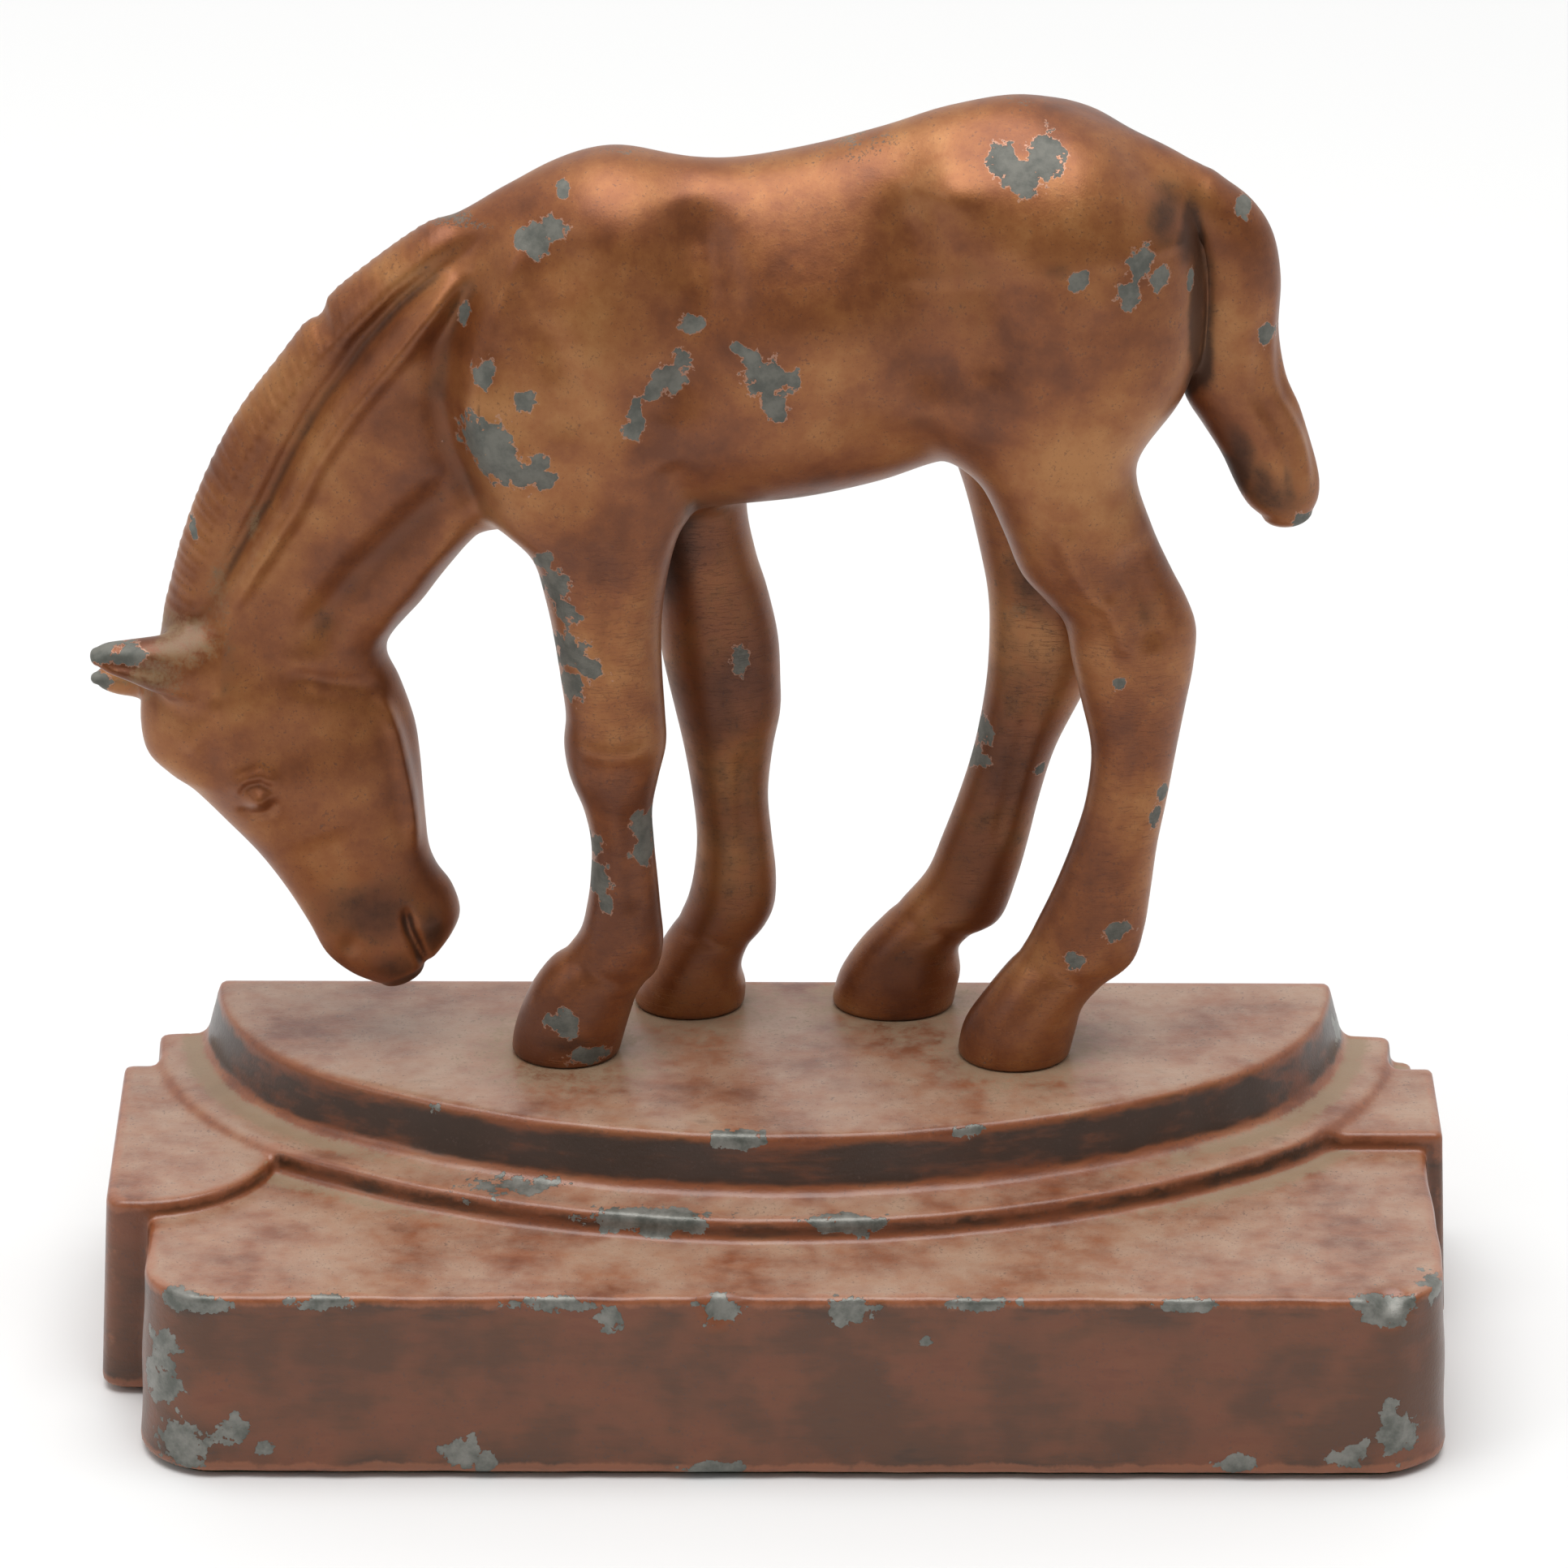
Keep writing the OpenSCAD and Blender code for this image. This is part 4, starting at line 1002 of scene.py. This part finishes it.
def neck_keeps(parts, g):
    ears = np.minimum(parts["near_ear"], parts["far_ear"])
    return np.minimum(np.minimum(NECK_X - g.x, g.z - HEAD_Z), ears - parts["body"])


def head_keeps(parts, g):
    return np.minimum(HEAD_Z - g.z, np.minimum(parts["near_ear"], parts["far_ear"]) - parts["body"])


def stands_out(name):
    """Keeps what lies nearer to the named skin than to the body's."""
    return lambda parts, g: parts["body"] - parts[name]


def below(level):
    """Keeps what is under a level plane."""
    return lambda parts, g: level - g.z + 0 * g.x + 0 * g.y


# name: (lowest corner, highest corner, cell size, legs that blend in, what it keeps, turned)
castings = {
    "torso": ((-36.6, -17, 53), (46, 17, 113.4), 0.45, forelegs + hind_legs, torso_keeps, False),
    "neck": ((-73, -11, 43), (-31.5, 11, 101), 0.36, forelegs, neck_keeps, True),
    "head": ((-75, -11, 3.5), (-34.5, 9, 49), 0.3, (), head_keeps, True),
    "tail": ((32, -7, 58), (59.5, 7, 108), 0.33, (), stands_out("tail"), False),
    "near_ear": ((-79, -10, 39), (-61, 0, 53), 0.22, (), stands_out("near_ear"), True),
    "far_ear": ((-79, 0, 35), (-61, 9, 49), 0.22, (), stands_out("far_ear"), True),
    "near_foreleg": ((-36, -14, -2.5), (-7, 2.5, 59), 0.38, forelegs[:1], below(FORELEG_Z), False),
    "far_foreleg": ((-23, -2.5, -2.5), (1.6, 14, 59), 0.38, forelegs[1:], below(FORELEG_Z), False),
    "near_hind_leg": ((13, -15, -2.5), (47, 3, 65), 0.38, hind_legs[:1], below(HIND_LEG_Z), False),
    "far_hind_leg": ((1.5, -3, -2.5), (40, 15, 65), 0.38, hind_legs[1:], below(HIND_LEG_Z), False),
}


# %% Make the castings
def cast(name):
    low, high, cell, legs, keeps, turned = castings[name]
    grid = even_grid(low, high, cell * coarse)
    parts = figure_parts(grid.x, grid.y, grid.z)
    field = whole(parts, grid.z, legs)
    points, normals, triangles, marks = skin_mesh(grid, field, keeps(parts, grid))
    marks.update(wear_marks(points))
    if turned:
        normals = turn_normals(points, normals)
        points = turn_head(points)
    points = points + (0, figure_y, platform_z)
    return make_piece(name + "_skin", name, lacquer, points, normals, triangles, marks)


for casting in castings:
    cast(casting)

# %% [markdown]
# ## The base
# A stepped base could be lofted from outlines, but its coves and worn edges would then need bevels
# everywhere. Distances give both for nothing: steps join with a fillet and end with a round edge. The
# bow front is an arch of three arcs, as a draughtsman would strike it with compasses.

# %% The base's sizes, from the frame
base_low, base_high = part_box("base_casting")
front, back = base_low.y / MM, base_high.y / MM
left, bottom = base_low.x / MM, base_low.z / MM
PLATFORM_X, PLATFORM_HALF, PLATFORM_DEPTH, END_RADIUS = -2, 62.4, 38, 28
SLAB_HALF, SLAB_TOP, RING_TOP, WING_TOP = 70.5, platform_z - 9.5, platform_z - 6.8, platform_z - 7.7
CORNER_RADIUS = 8.5
end_offset = PLATFORM_HALF - END_RADIUS
arch_rise = (end_offset ** 2 - (PLATFORM_DEPTH - END_RADIUS) ** 2) / (2 * (PLATFORM_DEPTH - END_RADIUS))
middle_radius = arch_rise + PLATFORM_DEPTH
print("arch radii in mm:", END_RADIUS, round(middle_radius, 1))


def bow_distance(x, y):
    """How far a point stands out from the platform's top edge."""
    px, py = np.abs(x - PLATFORM_X), y - back
    at_end = np.hypot(px - end_offset, py) - END_RADIUS
    in_middle = np.hypot(px, py - arch_rise) - middle_radius
    beside = (px - end_offset) * arch_rise + py * end_offset > 0
    return np.where(beside, at_end, in_middle)


def rounded_box(x, y, low, high, radius):
    """Distance from an upright block with rounded corners, seen from above."""
    cx, cy = (low[0] + high[0]) / 2, (low[1] + high[1]) / 2
    hx, hy = (high[0] - low[0]) / 2 - radius, (high[1] - low[1]) / 2 - radius
    dx, dy = np.abs(x - cx) - hx, np.abs(y - cy) - hy
    return np.hypot(np.maximum(dx, 0), np.maximum(dy, 0)) + np.minimum(np.maximum(dx, dy), 0) - radius


# %% The base's distance
DRAFT = 0.045  # how much the sides lean in, per millimetre of height
WING_X, WING_Y, WING_BEND = 4.3, 34.5, 16  # the left wing's curved side: middle and radius
RING_REACH, WALL_REACH = 7.2, 1.7  # beyond the platform's top edge
BACK_STEP = 5  # the wings stop this far before the back
DENTS = ((-8.2, 0), (63.9, 1.6))  # on the front slab's top edge
DENT_DEPTH, DENT_WIDTH = 2.4, 1.6


def base_field(x, y, z):
    """The distance to the base: a slab, two wings, a ring and the platform, joined and cut off behind."""
    ripple = 0.10 * np.sin(x * 0.31 + 1.3) * np.sin(z * 0.5 + y * 0.2)
    ripple = ripple + 0.06 * np.sin(x * 0.83 + y * 0.6)
    draft = (z - bottom) * DRAFT
    slab = rounded_box(x, y, (-SLAB_HALF - 0.4, front), (SLAB_HALF + 0.4, back + 20), CORNER_RADIUS)
    slab = slab + draft
    slab = cut(slab + ripple, z - SLAB_TOP + 0.012 * (y - front) - 0.2, 0.9)
    out = bow_distance(x, y)
    wall = out - WALL_REACH + 0.25 * (z - RING_TOP)
    platform = cut(wall + 0.6 * ripple, z - platform_z, 0.8)
    ring = cut(out - RING_REACH + 0.08 * (z - SLAB_TOP) + 0.6 * ripple,
               z - RING_TOP - 0.03 * (7 - out), 0.9)
    bend = np.hypot(x - left - WING_X, y - front - WING_Y) - WING_BEND
    left_wing = np.where(y < front + WING_Y, bend, x - left - WING_X - WING_BEND) + 0 * z
    left_wing = cut(cut(left_wing, left - x, 2.2), y - back + BACK_STEP, 0.8)
    right_wing = rounded_box(x, y, (30, front + WING_Y + 1), (SLAB_HALF + 2.4, back - BACK_STEP), 1.6)
    wings = cut(np.minimum(left_wing, right_wing) + draft, z - WING_TOP, 0.8)
    solid = blend(blend(slab, wings, 0.7), ring, 1.3)
    solid = blend(solid, platform, 1.6)
    solid = cut(solid, y - back, 0.6)
    for dx, dy in DENTS:
        dent = np.sqrt((x - dx) ** 2 + (y - front - dy) ** 2 + (z - SLAB_TOP) ** 2)
        solid = solid + DENT_DEPTH * np.exp(-(dent / DENT_WIDTH) ** 2)
    return cut(solid, bottom - z, 0.5)


# %% Where the base is dark, dusty and chipped
# (x, y, z, radius, how long it is drawn out along the edge)
base_chips = [
    (-66, front + 1, 20.6, 1.6, 1), (-67.6, front + 3, 15, 2, 1), (-68, front + 3, 10, 2.6, 1),
    (-66, front + 2, 4, 2.8, 1), (-60.4, front, 6, 1.8, 1), (-57, front, 4, 1.1, 1),
    (-36, front, 3.4, 1.8, 1), (-33, front, 2, 1.2, 1), (-64, front, 20.8, 1.2, 3),
    (-50, front, 21, 1, 4), (-26, front, 20.9, 1, 5), (-20, front, 19, 1.5, 1),
    (-8.2, front, 20.4, 2, 1), (6, front, 20, 1.5, 1.8), (20, front, 21, 0.9, 4),
    (42, front, 21, 0.9, 4), (63.4, front + 1, 20.6, 1.8, 2), (14, front, 16.6, 0.9, 1),
    (-8, front, 1.4, 1, 3), (64, front + 1, 8, 1.8, 0.7), (65, front + 1, 5, 2.4, 1),
    (60, front, 3, 1.4, 1.4), (48, front, 2, 1, 2), (68, front + 6, 20.6, 1.4, 1),
    (-30, front + 22, 23.6, 1.4, 4), (-16, front + 15, 23.6, 1.4, 5), (6, front + 14, 23.6, 1.2, 3),
    (36, front + 18, 23.6, 1.2, 3), (-40, front + 26, 30.6, 1.4, 2), (-44, front + 28, 30.6, 1.2, 2),
    (-6, front + 21, 30.6, 1.2, 2), (20, front + 22, 30.6, 1.2, 2), (60, front + 44, 30.6, 1.4, 1),
    (60.6, front + 56, 27, 1.6, 1), (-66, front + 58, 29, 1.4, 1)]


hoof_places = (-25, -6), (-11.8, 6), (24.6, -6.4), (11.2, 6)
HOOF_DUST = 12  # how far dust lies around a hoof


def base_marks(points, normals):
    """How upright, darkened by painted shade and dirt, dusty and chipped the base is at each corner."""
    x, y, z = points.T
    upright = 1 - np.clip(np.abs(normals[:, 2]), 0, 1)
    out = bow_distance(x, y)
    # The dark band mark below is painted shade with dark dirt: the platform's wall, the ring's side, a line
    # under the slab's top edge, and the foot by the floor.
    on_wall = ease(0.35, 0.8, upright) * ease(-4, 0.2, out) * ease(RING_TOP - 0.2, RING_TOP + 1, z)
    on_ring = ease(0.3, 0.8, upright) * (out > 5) * ease(SLAB_TOP, SLAB_TOP + 0.8, z) * (out < 9)
    seam = ease(0.4, 0.8, upright) * np.exp(-((z - SLAB_TOP + 1.6) / 1.2) ** 2) * (out > 8)
    foot = ease(0.4, 0.8, upright) * np.exp(-((z - bottom) / 2.6) ** 2)
    soot = on_wall * ease(0, 2, platform_z - z) + 0.55 * on_ring + 0.4 * seam + 0.45 * foot
    level = ease(0.6, 0.9, normals[:, 2])
    ends = 0.25 + 0.75 * ease(28, 58, np.abs(x - PLATFORM_X))
    cove = ends * (np.exp(-((out - 3.2) / 1.6) ** 2) * (z > RING_TOP - 0.6)
                   + np.exp(-((out - 8) / 2) ** 2) * (z < RING_TOP - 1))
    feet = [np.exp(-(np.hypot(x - px, y - figure_y - py) / HOOF_DUST) ** 2) for px, py in hoof_places]
    dust = level * np.clip(cove * 0.95 + 0.85 * np.max(feet, axis=0) * (z > platform_z - 1), 0, 1)
    chip = np.full(len(points), -1.0)
    for cx, cy, cz, radius, stretch in base_chips:
        gap = np.sqrt(((x - cx) / stretch) ** 2 + ((y - cy) / 1.5) ** 2 + (z - cz) ** 2)
        chip = np.maximum(chip, 1 - gap / radius)
    return dict(upright=upright, soot=soot, dust=dust, chip=np.clip(chip, -1, 1))


# %% Make the base
fine = 0.5 * coarse
heights = np.concatenate([np.arange(bottom - 2, bottom + 2, 0.35 * coarse),
                          np.arange(bottom + 2.4, 19, 1.4),
                          np.arange(19.4, platform_z + 2.2, 0.3 * coarse)])
base_grid = Grid([np.arange(left - 2.2, 76, fine), np.arange(front - 2.2, back + 2.4, fine), heights])
base_skin = base_field(base_grid.x, base_grid.y, base_grid.z)
points, normals, triangles, marks = skin_mesh(base_grid, base_skin)
marks.update(base_marks(points, normals))
make_piece("base_skin", "base_casting", paint, points, normals, triangles, marks)

# %% [markdown]
# ## Floor and light
# A plain pale floor and one soft light overhead, as on a product table. The world is white behind the
# foal and dim in front of it, like a white paper sweep in a grey room. So surfaces that face the
# room stay deep, the tops shine, and the legs get thin pale rims.

# %% Floor
FLOOR_HALF = 6.0
floor_mesh = bpy.data.meshes.new("floor")
floor_mesh.from_pydata([(-FLOOR_HALF, -FLOOR_HALF, 0), (FLOOR_HALF, -FLOOR_HALF, 0),
                        (FLOOR_HALF, FLOOR_HALF, 0), (-FLOOR_HALF, FLOOR_HALF, 0)], [], [(0, 1, 2, 3)])
floor = bpy.data.objects.new("floor", floor_mesh)
scene.collection.objects.link(floor)
pale = Finish("pale_floor")
floor_mesh.materials.append(pale.shade(Base_Color=(0.82, 0.82, 0.815), Roughness=0.6))


# %% Lights
def soft_light(name, place, size, power):
    """A white rectangle of light that points at the camera's target."""
    lamp = bpy.data.lights.new(name, "AREA")
    lamp.shape, lamp.size, lamp.size_y = "RECTANGLE", *size
    lamp.energy = power
    holder = bpy.data.objects.new(name, lamp)
    holder.location = Vector(place)
    holder.rotation_euler = (target - holder.location).to_track_quat("-Z", "Y").to_euler()
    scene.collection.objects.link(holder)


soft_light("overhead", (-0.05, -0.14, 1.2), (1.1, 0.9), 12)
soft_light("left_fill", (-1.4, -0.9, 0.9), (0.6, 0.6), 2.6)
world = bpy.data.worlds.new("studio")
world.use_nodes = True
sky = Shading(world.node_tree)
direction = sky.node("ShaderNodeTexCoord", {}, {}, "Generated")
lean = sky.node("ShaderNodeVectorMath", dict(operation="DOT_PRODUCT"), {0: direction, 1: (0, 0.8, 0.6)},
                "Value")
fade = sky.node("ShaderNodeMapRange", dict(interpolation_type="SMOOTHSTEP"),
                {"Value": lean, "From Min": -0.35, "From Max": 0.6, "To Min": 0.17, "To Max": 0.86})
backdrop = sky.tree.nodes["Background"]
sky.connect(backdrop.inputs["Strength"], fade)
sky.connect(backdrop.inputs["Color"], (1, 1, 1))
scene.world = world
scene.view_settings.view_transform = "Standard"
